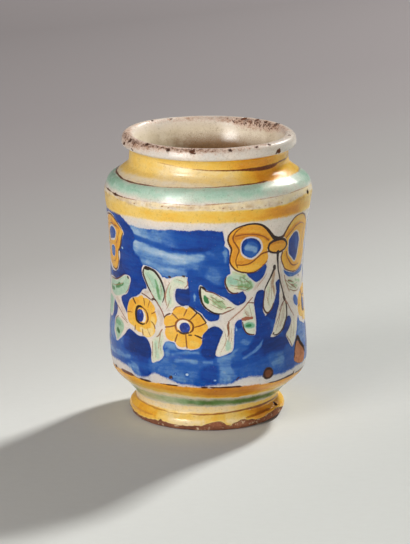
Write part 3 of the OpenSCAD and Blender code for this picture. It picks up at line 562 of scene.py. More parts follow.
    # veins and outlines of the leaves
    L([(-3.6, 78.6), (-3.8, 76.4), (-3.5, 73.4), (-2.9, 71), (-1.6, 69), (0.4, 67.2), (3, 65.7), (6, 64.8), (9, 64.7)], [0.4, 0.6, 0.62, 0.55, 0.5, 0.48, 0.45, 0.4, 0.3], 0.95)
    L([(-3, 78.6), (-1.8, 78), (-0.4, 76.8)], [0.4, 0.62, 0.3], 0.96)
    L([(9, 64.8), (10.5, 65.3), (13, 66.1), (15.5, 67.1)], [0.3, 0.36, 0.32, 0.25], 0.66)
    L([(-0.6, 76.6), (4, 75.5), (7, 74), (10, 72)], [0.3, 0.32, 0.26, 0.15], 0.74)
    L([(10.5, 67.2), (12, 67.8), (14, 67.8)], [0.15, 0.3, 0.2], 0.62)
    L([(0, 73.4), (3, 71.6), (6, 69.4), (9, 67.6)], 0.16, 0.5)
    L([(12, 60.6), (16, 63.4), (20, 66), (24, 69.4), (27, 72)], [0.22, 0.24, 0.26, 0.32, 0.24], 0.52)
    L([(28.2, 69), (26, 69.4), (24, 69.6)], [0.3, 0.24, 0.15], 0.7)
    L([(12.4, 60.4), (11.8, 58.5), (12, 55.5), (11.5, 53)], [0.4, 0.62, 0.42, 0.2], 0.6)
    L([(10.6, 51.6), (9, 48), (7.4, 45.4)], 0.14, 0.42)
    L([(10.9, 83.4), (10.4, 81.6), (11, 79.2), (12.6, 76.5), (15, 75), (18, 75.1)], [0.25, 0.4, 0.42, 0.42, 0.4, 0.3], 0.82)
    L([(13.6, 79.4), (17, 78.4), (20.4, 78), (24, 77.4)], 0.16, 0.45)
    L([(20.5, 60), (21, 57), (22.5, 54.3), (25, 53.2), (27.2, 52.9)], [0.25, 0.35, 0.4, 0.4, 0.25], 0.84)
    L([(33, 88), (35, 88.9), (36.2, 90)], [0.2, 0.3, 0.25], 0.6)
    L([(30, 76.4), (31.6, 78.6), (34, 80.6), (36.6, 83.4)], [0.12, 0.2, 0.2, 0.12], 0.4)
    L([(15, 82.6), (18.4, 81.6), (21, 80.4), (24.4, 80.6)], [0.1, 0.16, 0.14, 0.1], 0.55)
    L([(19, 83.4), (21.6, 82.2), (25.6, 79.2)], [0.1, 0.18, 0.12], 0.7)
    L([(16, 77.4), (19.4, 76.8), (23, 76.2), (26.4, 78)], [0.1, 0.18, 0.2, 0.1], 0.66)
    L([(1.6, 73.6), (4, 72.8), (6.4, 71), (8, 71.2), (10.4, 69.4)], [0.1, 0.2, 0.14, 0.16, 0.1], 0.62)
    L([(2, 70), (4.6, 68.6), (7.4, 67.4), (9.6, 66.6)], [0.1, 0.16, 0.16, 0.1], 0.58)
    L([(9.6, 56), (10.4, 52), (9.8, 48.6)], [0.1, 0.14, 0.08], 0.5)
    L([(13.6, 57), (13.8, 53), (13, 49.4)], [0.1, 0.16, 0.1], 0.5)
    L([(22, 65.4), (23.4, 63.2), (25.6, 62.6)], [0.1, 0.16, 0.1], 0.55)
    L([(24.6, 68.4), (25.6, 65), (26.6, 61)], [0.12, 0.16, 0.1], 0.5)
    B = lambda p, w, o=0.6, s=0.8: S.shade(off(p, d), 1.0, o, s, hw=w, key="brn")
    B([(12.2, 58), (12.4, 54), (12, 51)], [0.6, 0.5, 0.2], 0.5)
    B([(22, 66), (23.6, 64), (24, 62.4)], [0.4, 0.5, 0.5], 0.45)
    B([(28.4, 76), (31, 79), (35, 82)], [0.4, 0.6, 0.4], 0.28, 1.2)
    B([(14, 62.4), (18, 64.8), (22, 68)], [0.4, 0.5, 0.4], 0.25, 1.0)


def paint_bow_right(S, d):
    """Right loop and what hangs on the right of a bow."""
    S.fill("reserve", off(BARE_R, d), m=3)
    for shape, t, h in ((LEAF_A, 0.03, 0.6), (LEAF_B, 0.03, 0.6), (LEAF_D, 0.08, 0.5), (LEAF_C, 0.03, 0.7)):
        leaf(S, shape, d, t, h)
    G = lambda p, w, t, h, o=0.85, s=1.0: (S.shade(off(p, d), t, o, s, hw=w, key="grn"), S.shade(off(p, d), h, o, s, hw=w, key="hue"))
    for a, b in (((56, 76.6), (62, 75)), ((60, 73.6), (67, 72.2)), ((64, 76), (71, 74))):
        G([a, b], 0.5, 0.36, 0.6)
    G([(38, 76), (38.4, 72), (38, 67)], [0.5, 0.8, 0.5], 0.16, 0.5)
    S.fill("hole", off([(50.2, 83.4), (53, 82.2), (57, 81), (62, 80.2), (68, 80.6), (75, 82.4), (75, 79.2), (70, 78.4), (64, 78.3), (58, 78.5), (54, 79.6), (51.4, 81.4)], d), 0.46, "blue")
    S.fill("hole", off([(61, 66), (61.8, 68), (64, 68), (66, 66.5), (68, 64.6), (69, 63), (67, 62), (65, 62), (62.6, 63.6)], d), 0.50, "blue")
    S.fill("yel", off(LOOP_R, d), 0.54)
    Y = lambda p, w, t, o=0.85, s=1.0: S.shade(off(p, d), t, o, s, hw=w, key="yel")
    Y([(50, 101), (54, 103.6), (58, 105.4), (64, 106)], 0.9, 0.70, 0.8)
    Y([(53, 106), (58, 108), (66, 108)], 1.0, 0.38, 0.7)
    Y([(51, 91), (53.6, 87.6), (58, 85), (63, 83.8)], 0.9, 0.66, 0.7)
    S.cut("yel", off(HOLE_R, d))
    S.fill("hole", off(BLUE_R, d), 0.86, "blue")
    S.shade(off([(60.5, 99), (62, 93.6)], d), 0.62, 0.8, 1.2, hw=1.0)
    L = lambda p, w, t: S.fill("line", off(p, d), t, hw=w)
    L([(47.5, 101.6), (49, 103.5), (52, 106.5), (55, 108.8), (58, 110.2), (62, 110.7), (66.5, 110.4), (71, 108.8), (74.6, 106.2), (76.7, 102.6), (77.1, 99)], [0.7, 0.6, 0.52, 0.46, 0.4, 0.38, 0.38, 0.38, 0.36, 0.35, 0.3], 0.78)
    L([(77.1, 99), (75.8, 96), (75.4, 92.5), (76, 89), (75, 85.3), (71.9, 82.4), (67.5, 80.9), (62, 80.7), (58, 81.4), (54.6, 82.4), (51.2, 83.9), (49.4, 86), (47.7, 88.5), (47.2, 90.5), (48, 93)],
      [0.3, 0.3, 0.3, 0.35, 0.35, 0.3, 0.3, 0.34, 0.34, 0.36, 0.4, 0.4, 0.42, 0.45, 0.5], 0.72)
    L([(50.4, 100.2), (52, 101.3), (55, 103), (58, 104.7), (60, 105.3), (66, 105.8), (71.4, 104)], [0.38, 0.40, 0.36, 0.32, 0.3, 0.25, 0.15], 0.6)
    L([(51.3, 92.8), (52.8, 90), (55, 87.5), (58, 85.2), (62, 83.9), (68, 84)], [0.36, 0.36, 0.34, 0.32, 0.28, 0.2], 0.64)
    L([(71.4, 104), (71, 100), (70, 96.4), (70.6, 92), (70.4, 87.4)], 0.24, 0.6)
    # the stalk and its leaves
    L([(44, 93.6), (44.2, 90.4), (44.8, 87), (45.4, 84), (46.5, 81), (48, 77), (49.9, 72.4), (51.3, 69)], [1.0, 0.72, 0.55, 0.5, 0.5, 0.48, 0.5, 0.7], 0.95)
    L([(51, 69), (51.8, 67.6)], [0.9, 0.9], 0.92)
    L([(52, 67.4), (52.9, 65.4), (53.3, 62.4), (53, 59.6), (51.5, 56.6), (49, 53.3), (46, 51.4), (43.4, 50.7), (41.2, 50.8)], [0.6, 0.58, 0.58, 0.56, 0.52, 0.48, 0.44, 0.4, 0.3], 0.92)
    L([(40.6, 51.5), (41, 51.8)], 0.5, 0.9)
    L([(52.6, 66.8), (55, 64.4), (58, 60.6), (61, 57.4)], [0.42, 0.38, 0.34, 0.25], 0.56)
    L([(50, 66), (47, 61.7), (44.5, 58.2), (43, 56)], [0.24, 0.28, 0.26, 0.16], 0.55)
    L([(50.4, 66.8), (48.4, 65.2), (46.4, 62.6)], [0.36, 0.3, 0.15], 0.7)
    L([(42, 86.3), (42.3, 85.3)], [1.0, 0.95], 0.97)
    L([(42, 85.2), (40.4, 82.6), (38.6, 79.8), (37, 77.6), (35.6, 75.4)], [0.7, 0.6, 0.52, 0.48, 0.36], 0.95)
    L([(35.5, 75.2), (35, 72), (34.3, 68), (34.4, 65.5), (36, 63.2), (38, 63), (40.5, 64.9), (42, 67.4)], [0.3, 0.26, 0.32, 0.45, 0.45, 0.45, 0.4, 0.25], 0.84)
    L([(39.8, 78), (38.6, 73), (37.6, 68)], 0.14, 0.4)
    L([(51.2, 80.2), (53, 76.6), (55.4, 72.8), (57, 71)], [0.36, 0.36, 0.36, 0.25], 0.5)
    L([(55.5, 77), (58, 76.3), (60.6, 75.3)], [0.45, 0.4, 0.25], 0.6)
    L([(58, 74.5), (62, 72.8), (66, 71)], [0.3, 0.36, 0.25], 0.6)
    L([(57, 72.2), (62, 70.4), (67, 69.8), (71, 70.4)], [0.2, 0.3, 0.28, 0.2], 0.6)
    L([(68.8, 77.5), (69.4, 77.2)], 0.55, 0.9)
    L([(51.6, 48.8), (54.2, 45.6), (56.6, 42.2)], [0.2, 0.26, 0.24], 0.66)
    L([(61, 56.6), (60, 52), (58.4, 47)], 0.2, 0.42)
    L([(36.4, 74), (37.4, 70), (38.6, 66.4)], [0.1, 0.16, 0.1], 0.5)
    L([(40.8, 79), (40.2, 74), (40.6, 69.4)], [0.12, 0.18, 0.12], 0.55)
    L([(47.6, 64.4), (46.6, 60), (44.6, 55.4), (42.6, 52.4)], [0.1, 0.18, 0.16, 0.1], 0.55)
    L([(51, 62.4), (49.6, 58.4), (46.6, 54.6)], [0.1, 0.16, 0.1], 0.5)
    L([(52.4, 78), (57, 75), (62, 73.8), (68, 74)], [0.12, 0.2, 0.2, 0.1], 0.6)
    L([(53.6, 75.6), (57, 73.4), (61, 72)], [0.12, 0.18, 0.1], 0.55)
    L([(57.6, 55.6), (56.6, 51), (55.4, 46.6)], [0.1, 0.16, 0.1], 0.45)
    B = lambda p, w, o=0.6, s=0.8: S.shade(off(p, d), 1.0, o, s, hw=w, key="brn")
    B([(42, 84), (41.4, 80.6), (41.6, 77), (42.2, 74), (42.8, 71)], [0.6, 0.9, 0.8, 0.6, 0.3], 0.72)
    B([(46.6, 88), (47.4, 83), (49.6, 77), (52, 71)], [0.4, 0.5, 0.5, 0.4], 0.3, 1.2)
    B([(51, 66), (49, 60), (46, 55)], [0.3, 0.5, 0.3], 0.3, 1.0)


def paint_mid(S, d):
    """The pair of flowers and the sprig over and under them."""
    S.fill("reserve", off(BARE_M, d), m=3)
    for shape, t, h in ((LEAF_J, 0.20, 0.25), (LEAF_K, 0.12, 0.4), (LEAF_I, 0.14, 0.45)):
        leaf(S, shape, d, t, h)
    G = lambda p, w, t, h, o=0.85, s=1.0: (S.shade(off(p, d), t, o, s, hw=w, key="grn"), S.shade(off(p, d), h, o, s, hw=w, key="hue"))
    G([(-31, 80.6), (-29.6, 76.6), (-28, 71.4)], [0.4, 0.9, 0.5], 0.55, 0.45)
    G([(-36, 83), (-33, 80.6), (-31.4, 77)], [0.8, 1.2, 0.9], 0.30, 0.2)
    G([(-27, 79), (-26.4, 75), (-27, 71)], [0.3, 0.5, 0.3], 0.34, 0.3)
    G([(-22.2, 78), (-22.4, 74), (-21.4, 70)], [0.6, 0.9, 0.8], 0.26, 0.3)
    G([(-18, 81.4), (-14.4, 80.6)], [0.9, 0.8], 0.22, 0.3)
    G([(-30.6, 49), (-30.2, 44), (-29.6, 41)], [0.6, 1.1, 0.7], 0.26, 0.3)
    G([(-28, 50), (-27.4, 45)], [0.4, 0.7], 0.2, 0.4)
    # petals
    Y = lambda p, w, t, o=0.85, s=1.0: S.shade(off(p, d), t, o, s, hw=w, key="yel")
    S.fill("yel", off(FLOWER1, d), 0.52)
    Y([(-50, 62), (-48.6, 66), (-44, 68)], 1.4, 0.62, 0.7)
    Y([(-34, 53.6), (-37, 52.4), (-40.6, 53.6)], [1.8, 1.6, 1.2], 0.16, 0.85, 1.4)
    Y([(-32.4, 60), (-32.6, 56.6)], 1.4, 0.26, 0.8, 1.2)
    Y([(-44.6, 54.4), (-49, 57)], 1.2, 0.44, 0.7)
    S.fill("yel", off(FLOWER2, d), 0.52)
    Y([(-21, 58.6), (-20, 54), (-17, 51)], 1.6, 0.44, 0.7)
    Y([(-15, 65.6), (-10, 65)], 1.4, 0.58, 0.7)
    Y([(-5, 61.6), (-4, 57)], 1.5, 0.60, 0.7)
    Y([(-9, 49.6), (-6, 49)], 1.2, 0.36, 0.7)
    # hearts of the flowers
    S.fill("wht", off([(-40.6, 64.4), (-38.6, 63), (-37.6, 60.6), (-38, 58.4), (-39.6, 57.5), (-40.4, 58.8), (-39.2, 60.8), (-39.8, 62.8)], d))
    S.fill("eye", off(oval(-42, 60.8, 2.9, 3.4), d))
    S.fill("wht", off(oval(-13.8, 58.6, 3.9, 2.9), d))
    S.fill("eye", off(oval(-12.8, 57.4, 3.1, 2.8), d))
    S.fill("wht", off([(-13.6, 59.2), (-12.6, 59.3)], d), hw=[0.3, 0.25])
    L = lambda p, w, t: S.fill("line", off(p, d), t, hw=w)
    L([(-38.4, 57), (-40, 56.7), (-42.6, 57), (-44.6, 58.2), (-45.2, 60.4), (-45.1, 62.8), (-44.2, 64.8), (-42.2, 65.6), (-40, 65.2)], [0.3, 0.5, 0.5, 0.7, 0.8, 0.8, 0.75, 0.6, 0.35], 0.96)
    L([(-40, 65.2), (-37.4, 63.8), (-36.2, 61.6), (-36, 59.4), (-37.4, 57.4)], [0.3, 0.36, 0.5, 0.5, 0.35], 0.66)
    L([(-17.2, 55.4), (-18.2, 57.4), (-17.8, 59.6), (-16.4, 61.2), (-14, 62), (-11.4, 61.6)], [0.36, 0.5, 0.52, 0.5, 0.45, 0.4], 0.60)
    L([(-11.4, 61.6), (-9.2, 60.4), (-8, 58.6), (-8.2, 56.6), (-9.6, 55.2)], [0.4, 0.5, 0.52, 0.5, 0.4], 0.72)
    L([(-16.4, 55.6), (-15, 54.8), (-13, 54.5), (-10.6, 54.9)], [0.35, 0.5, 0.55, 0.45], 0.94)
    for p, w, t in (([(-47.8, 68.9), (-46.8, 67.6), (-45.9, 66.4)], [0.5, 0.45, 0.3], 0.9), ([(-53, 61), (-50.4, 61.4), (-48.4, 61.4)], [0.28, 0.24, 0.12], 0.62), ([(-46.2, 52.6), (-46, 54), (-45.6, 55.4)], [0.3, 0.36, 0.18], 0.7),
                    ([(-39.8, 51), (-39.9, 52.4), (-40, 54)], [0.3, 0.32, 0.16], 0.66), ([(-34, 59), (-32.4, 58), (-31.3, 56.6), (-31, 55.5)], [0.2, 0.3, 0.32, 0.25], 0.62), ([(-33.4, 62.8), (-32, 63.6), (-30.8, 64.2)], [0.18, 0.3, 0.28], 0.6),
                    ([(-39, 70), (-38.8, 68.4), (-38.5, 66.5)], [0.32, 0.3, 0.18], 0.6), ([(-34.6, 69.4), (-35.4, 67.6), (-36, 65.8)], [0.26, 0.24, 0.14], 0.55), ([(-34.4, 51.4), (-35.6, 53.4), (-36.6, 55.2)], [0.22, 0.2, 0.12], 0.5),
                    ([(-24.4, 57), (-21.4, 57.5), (-18.8, 58.2)], [0.34, 0.36, 0.3], 0.66), ([(-20.2, 64.4), (-18.8, 63.4), (-17, 62)], [0.32, 0.36, 0.3], 0.66), ([(-11.5, 66.9), (-12.3, 65.4), (-13.3, 63.5)], [0.3, 0.34, 0.2], 0.64),
                    ([(-6, 65), (-7.8, 63.4), (-9.8, 61.6)], [0.34, 0.36, 0.26], 0.7), ([(-1, 60), (-4, 58.8), (-7, 58)], [0.36, 0.34, 0.25], 0.66), ([(-18.5, 50), (-17.8, 52), (-17, 54)], [0.36, 0.36, 0.25], 0.66),
                    ([(-11.6, 47.2), (-12, 50.4), (-12.3, 54)], [0.34, 0.36, 0.26], 0.66), ([(-3.2, 52.4), (-5, 53.2), (-7, 54)], [0.4, 0.42, 0.3], 0.86), ([(-10.5, 53.8), (-9, 53.8)], 0.35, 0.9)):
        L(p, w, t)
    L([(-10, 68.7), (-8, 67.3), (-6, 65.6), (-4.2, 64.8), (-2.4, 62.8), (-0.6, 60.4)], [0.35, 0.45, 0.42, 0.42, 0.42, 0.3], 0.95)
    L([(-19.6, 66), (-18, 67.6), (-15, 68.3)], [0.2, 0.26, 0.2], 0.62)
    # sprig
    L([(-37.4, 86.2), (-35.6, 86)], [1.0, 0.95], 0.97)
    L([(-36.4, 86.3), (-33.6, 85.9), (-31, 84.9), (-28.6, 82.7), (-26.6, 79.8), (-25.2, 76.6), (-24.8, 73.2), (-26, 69.4)], [0.75, 0.68, 0.65, 0.62, 0.58, 0.5, 0.4, 0.2], 0.95)
    L([(-38.6, 86), (-39.4, 84), (-39.1, 82), (-37.2, 78.8), (-35.2, 75.8), (-33.6, 73.4)], [0.4, 0.5, 0.52, 0.48, 0.42, 0.3], 0.9)
    L([(-33.8, 73.6), (-31.4, 70.8), (-30, 69.6), (-28, 67), (-26, 64), (-25, 61.6)], [0.3, 0.4, 0.42, 0.38, 0.35, 0.3], 0.58)
    L([(-40.6, 72.6), (-38, 71.8), (-35, 70.6), (-32.6, 69.6)], [0.3, 0.3, 0.3, 0.2], 0.72)
    L([(-32.8, 70.6), (-31, 70.4)], [0.45, 0.35], 0.88)
    L([(-25, 62), (-23.5, 63.3), (-21.6, 64.2)], [0.28, 0.38, 0.42], 0.8)
    L([(-23.4, 68), (-24.2, 72), (-23.5, 76), (-21.6, 80)], [0.2, 0.3, 0.3, 0.2], 0.48)
    L([(-22, 83.1), (-21.4, 82.9)], [0.55, 0.6], 0.92)
    L([(-13.7, 83.9), (-12.9, 83.8)], [0.45, 0.5], 0.95)
    L([(-11.2, 81.6), (-11, 79.6), (-12.6, 77.9)], [0.2, 0.28, 0.25], 0.55)
    L([(-26.4, 55.6), (-27.4, 54.4), (-28.6, 52.4), (-30, 51.4)], [0.3, 0.36, 0.34, 0.25], 0.55)
    L([(-27.4, 54), (-28.4, 49), (-28.8, 45)], [0.25, 0.22, 0.12], 0.48)
    L([(-32.8, 48.6), (-32.8, 45), (-33, 41)], [0.2, 0.22, 0.18], 0.5)
    L([(-36.6, 82.6), (-34, 79.4), (-31.6, 76)], [0.1, 0.14, 0.1], 0.45)
    L([(-28, 80), (-27, 76), (-27.4, 72)], [0.1, 0.16, 0.1], 0.5)
    L([(-20.6, 79), (-21.6, 75), (-20.8, 71)], [0.1, 0.16, 0.1], 0.45)
    L([(-17.6, 82), (-14.6, 81.4), (-12.6, 80.4)], [0.1, 0.16, 0.1], 0.45)
    L([(-31, 48), (-30.6, 44), (-31, 40.6)], [0.1, 0.16, 0.1], 0.45)
    L([(-27, 50), (-27.6, 46), (-27, 43)], [0.1, 0.14, 0.1], 0.45)
    L([(-24, 66), (-22.4, 68.4), (-21.6, 71)], [0.1, 0.2, 0.1], 0.5)
    B = lambda p, w, o=0.6, s=0.8: S.shade(off(p, d), 1.0, o, s, hw=w, key="brn")
    B([(-29, 65), (-27, 62), (-27, 58)], [0.6, 0.8, 0.6], 0.26, 1.4)
    B([(-24.4, 81), (-24.4, 76), (-24.4, 70)], [0.4, 0.5, 0.4], 0.24, 1.0)
    B([(-36, 73.6), (-38, 73.4)], [0.6, 0.6], 0.3, 1.0)


def wash_mid(S, d):
    """Depth of the blue over, between and under the flowers."""
    P = lambda p, t, o=0.9, s=1.4: S.shade(off(p, d), t, o, 1.7 * s)
    W = lambda p, w, t, o=0.9, s=1.2: S.shade(off(p, d), t, o, 1.4 * s, hw=w)
    P([(-50, 107.8), (-27, 108), (-26, 101), (-34, 101.4), (-42, 102), (-47, 103)], 0.30, 0.95, 1.8)
    P([(-51, 107.6), (-43, 107.2), (-41, 103), (-47, 103.6)], 0.15, 0.9, 1.8)
    P([(-35, 107.6), (-27, 108), (-26.4, 101), (-33, 102.2)], 0.40, 0.85, 1.4)
    P([(-26.4, 108.4), (-14, 108.4), (-13, 99), (-18, 97.6), (-25.4, 100.4)], 0.46, 0.92, 1.0)
    P([(-17, 108.6), (9.6, 108.8), (10, 99.6), (4, 96), (-6, 96), (-15, 97)], 0.72, 0.92, 3.0)
    P([(-5, 108.8), (9.4, 108.6), (9.6, 101), (2, 99.4), (-4, 100.4)], 0.80, 0.9, 3.0)
    W([(-21, 97.2), (-16, 96.5), (-10, 96.7), (-4, 97.1), (1, 98.2)], [0.8, 1.5, 1.7, 1.6, 1.2], 0.86, 0.92, 0.9)
    P([(-47.5, 99.6), (-40, 98.8), (-34, 97.8), (-26, 96.4), (-21, 95.2), (-12, 94.4), (-2, 95.2), (0, 92), (-2, 87.5), (-12, 88), (-12, 84.2), (-26, 83.3), (-33, 87), (-39, 88), (-41.5, 91.5), (-46, 93.5)], 0.32, 0.95, 1.6)
    P([(-47, 99), (-38, 98.8), (-35.4, 97.4), (-44, 95.8)], 0.13, 0.9, 2.4)
    P([(-36, 97), (-24, 95.8), (-19.6, 93.4), (-28, 93.4), (-35.6, 94.4)], 0.12, 0.9, 2.8)
    P([(-20.4, 94.4), (-13, 93.8), (-12, 90.8), (-19.6, 90.6)], 0.14, 0.85, 2.4)
    P([(-12, 94.4), (-3, 95), (-3, 92.4), (-11, 92)], 0.22, 0.8, 2.2)
    W([(-42, 92.6), (-34, 91.6), (-27, 91.3)], 0.9, 0.44, 0.8)
    W([(-33, 88.6), (-24, 88.4), (-15, 88.8), (-5, 89.6)], 0.9, 0.48, 0.8)
    W([(-36, 89.6), (-28, 86.6), (-20, 86.4)], 0.8, 0.24, 0.7)
    W([(-26, 84.6), (-20, 84.8), (-14, 85.2)], 0.8, 0.42, 0.7)
    W([(-50, 102.6), (-44, 101.2), (-38, 100), (-32, 99), (-27, 98.2), (-21.6, 96.8)], [0.8, 1.1, 1.1, 1.0, 1.1, 1.0], 0.70, 0.92, 0.9)
    P([(0, 97), (8, 99.2), (12.6, 96), (13, 88), (10, 78), (3, 77.4), (-3, 80), (-4, 88), (-1, 93)], 0.68, 0.9, 1.8)
    W([(10, 99.4), (10.2, 95), (10.4, 91.6)], [0.7, 1.1, 0.5], 0.34, 0.9, 1.0)
    P([(0.4, 87.2), (4, 88.2), (7, 86), (6.6, 80), (2, 79.5), (0, 83)], 0.40, 0.9, 1.8)
    W([(0.6, 96.4), (3, 95.4)], 0.8, 0.40, 0.8)
    P([(-11, 86), (-8, 87.2), (-5, 86), (-4.4, 80), (-4.4, 72), (-6, 66.4), (-10, 68.6), (-11.2, 74), (-10.8, 80)], 0.76, 0.92, 0.9)
    W([(-7, 75), (-6.8, 72.5), (-7, 69.8)], [0.35, 0.75, 0.5], 0.20, 0.9, 0.7)
    P([(-18.6, 74), (-17.4, 77.2), (-13, 78), (-10, 77), (-9.4, 72), (-11, 68.8), (-15, 68.4), (-18.2, 71)], 0.94, 0.95, 0.7)
    W([(-4, 83), (0, 80), (5, 77.6), (10, 76), (14, 73.5), (19, 71.4)], [1.2, 1.6, 1.6, 1.8, 1.8, 1.8], 0.80, 0.9, 1.0)
    P([(-57, 49.4), (-53, 52.2), (-50, 52.8), (-46, 51), (-42, 50.2), (-37, 49.6), (-35, 46.8), (-33.6, 42), (-33.8, 37.4), (-40, 36.4), (-47, 38), (-53, 40.5), (-58, 43)], 0.86, 0.95, 1.4)
    P([(-50, 50), (-44, 49.8), (-38, 48.4), (-36, 44), (-38, 40), (-44, 39.4), (-50, 43)], 1.0, 0.9, 2.6)
    W([(-63, 37.6), (-56, 37), (-51.6, 37.6)], 1.1, 0.28, 0.85)
    W([(-63, 34.6), (-55, 34.7), (-49, 36), (-45, 38)], 1.0, 0.70, 0.85)
    P([(-53, 34), (-46, 34.5), (-43.5, 32), (-43.5, 29), (-48, 28.6), (-52, 31)], 0.22, 0.92, 1.2)
    W([(-48.4, 33), (-47.4, 29.2)], 0.45, 0.04, 0.8, 0.6)
    P([(-42.8, 35.6), (-38, 36.4), (-34.4, 35), (-34, 32), (-37, 29.6), (-42, 28.4)], 0.74, 0.92, 1.0)
    P([(-34, 38.6), (-22, 40.6), (-9, 38), (-7, 27.6), (-20, 28), (-27, 30), (-34, 32)], 0.44, 0.92, 1.8)
    W([(-31, 36.6), (-26, 37.4)], 1.2, 0.44, 0.8)
    W([(-22, 31), (-14, 30.4)], 1.2, 0.22, 0.7)
    P([(-25.4, 50), (-18.4, 49.2), (-17, 45.4), (-20, 42.4), (-25.2, 43.4)], 0.24, 0.92, 1.2)
    W([(-25.5, 44.4), (-23.4, 46.4)], 0.7, 0.5, 0.8)
    P([(-20, 46), (-3, 46.9), (0, 42), (-2, 37.4), (-12, 36.8), (-20, 38.6), (-22, 42)], 0.58, 0.9, 1.5)
    W([(-20, 43.6), (-13, 44.6), (-6, 45)], 0.6, 0.34, 0.85)
    W([(-18, 40.4), (-12.5, 40.8), (-7, 40.2)], 0.6, 0.26, 0.85)
    W([(-14, 42.4), (-6, 42.8), (0, 41.4)], 0.6, 0.66, 0.85)
    P([(-3, 36.4), (1, 38.6), (5, 37.6), (6.4, 33.6), (4, 29.6), (-0.6, 28.4), (-4.4, 31), (-4.8, 34)], 0.84, 0.92, 1.4)
    P([(-8, 31), (-3, 30), (3, 27.6), (-6, 26.8)], 0.66, 0.8, 1.4)
    W([(-2, 40), (2, 39.8)], 0.7, 0.32, 0.85, 0.9)


def wash_bow(S, d):
    P = lambda p, t, o=0.9, s=1.4: S.shade(off(p, d), t, o, 1.7 * s)
    W = lambda p, w, t, o=0.9, s=1.2: S.shade(off(p, d), t, o, 1.4 * s, hw=w)
    P([(-1, 57), (3, 58.8), (8, 57.2), (8.8, 55), (6.6, 49), (4.4, 43), (0, 41.6), (-3.4, 44.4), (-3.4, 49), (-2.4, 54)], 0.93, 0.95, 1.0)
    P([(-9, 69.8), (-4, 66.8), (0, 62.6), (4, 61), (6.9, 62.2), (6.9, 64.5), (2.5, 66.5), (-1, 68.8), (-5, 71.4)], 0.80, 0.92, 0.9)
    P([(5.6, 42.6), (14, 44.2), (16, 40), (15, 31), (10, 28.4), (6, 29.6), (6.2, 38)], 0.36, 0.92, 1.6)
    W([(8, 34.4), (10, 31.4)], 1.2, 0.14, 0.85)
    W([(6, 40.4), (12, 43), (17.6, 47)], [0.6, 0.7, 0.5], 0.30, 0.85, 0.9)
    P([(15, 56), (20, 60.6), (21, 55), (24.5, 52.6), (28, 52.2), (24, 47), (17, 46.6), (14.6, 48)], 0.58, 0.9, 1.2)
    P([(15.4, 57.8), (16.4, 60.2), (19, 61.6), (20.4, 60.4), (20, 57.4), (17.5, 57)], 0.86, 0.92, 0.7)
    W([(16, 58.4), (16.6, 56)], [0.35, 0.55], 0.08, 0.9, 0.6)
    W([(20.6, 50), (23.4, 49)], 0.8, 0.36, 0.85)
    P([(15, 42.6), (27, 41), (36, 42), (36, 35.6), (27, 34.6), (17, 33.4), (14.4, 37)], 0.64, 0.9, 1.5)
    W([(14.6, 38), (24, 39.6), (33, 41.6)], 1.1, 0.76, 0.85)
    P([(20, 44), (28, 52), (27.6, 75), (36, 76), (36, 66), (34.6, 61.6), (41, 60), (38.5, 50.4), (50, 48.4), (54.4, 44.6), (50, 41.4), (36, 41.4), (24, 42.4)], 0.88, 0.94, 1.2)
    P([(33, 50), (50, 49), (54, 44.6), (48, 42), (34, 43)], 0.97, 0.9, 2.0)
    W([(36.4, 61), (40, 58), (41.2, 55.4)], 1.0, 0.62, 0.8)
    W([(20, 41.2), (25, 43.2), (30, 46), (33, 49.6)], [0.4, 0.55, 0.55, 0.25], 0.26, 0.9, 0.7)
    P([(37, 41.2), (50, 41.4), (57.8, 43), (59.4, 33), (57, 29.6), (40, 29), (38.6, 33)], 0.46, 0.9, 1.6)
    P([(49, 42), (57.4, 43), (58.8, 36), (56, 31), (49.6, 31.4)], 0.68, 0.9, 1.5)
    W([(40, 36), (47, 37.4)], 1.0, 0.32, 0.85)
    W([(41, 31.8), (48, 32)], 0.8, 0.60, 0.8)
    P([(18, 35), (28, 35.4), (32, 32), (28, 30), (20, 30.4)], 0.50, 0.85, 1.2)
    P([(43.4, 77), (46.4, 79.4), (48.2, 77), (47.6, 70), (46.2, 64.4), (43, 58.6), (36, 61.6), (40, 63.8), (43, 69), (44.6, 73.6)], 0.90, 0.94, 0.8)
    P([(49.6, 53.4), (52.6, 58.2), (54.6, 59.2), (56.8, 58), (57.8, 56), (55, 51.4), (51, 48.4), (47.6, 51.4)], 0.88, 0.94, 0.8)
    # a paler blue at the right-hand edge of the front view, 62 to 80 degrees, and again with each copy: a painted sheen
    # where the key light grazes the wall
    P([(63, 49), (66, 53.6), (76, 57.6), (80, 50), (78, 40), (68, 41.6), (62, 45.6)], 0.34, 0.85, 2.4)
    P([(11.8, 75.2), (16, 75.4), (21, 76.4), (23.6, 73), (23.4, 70), (19, 68.2), (15, 69.6)], 0.82, 0.9, 0.9)


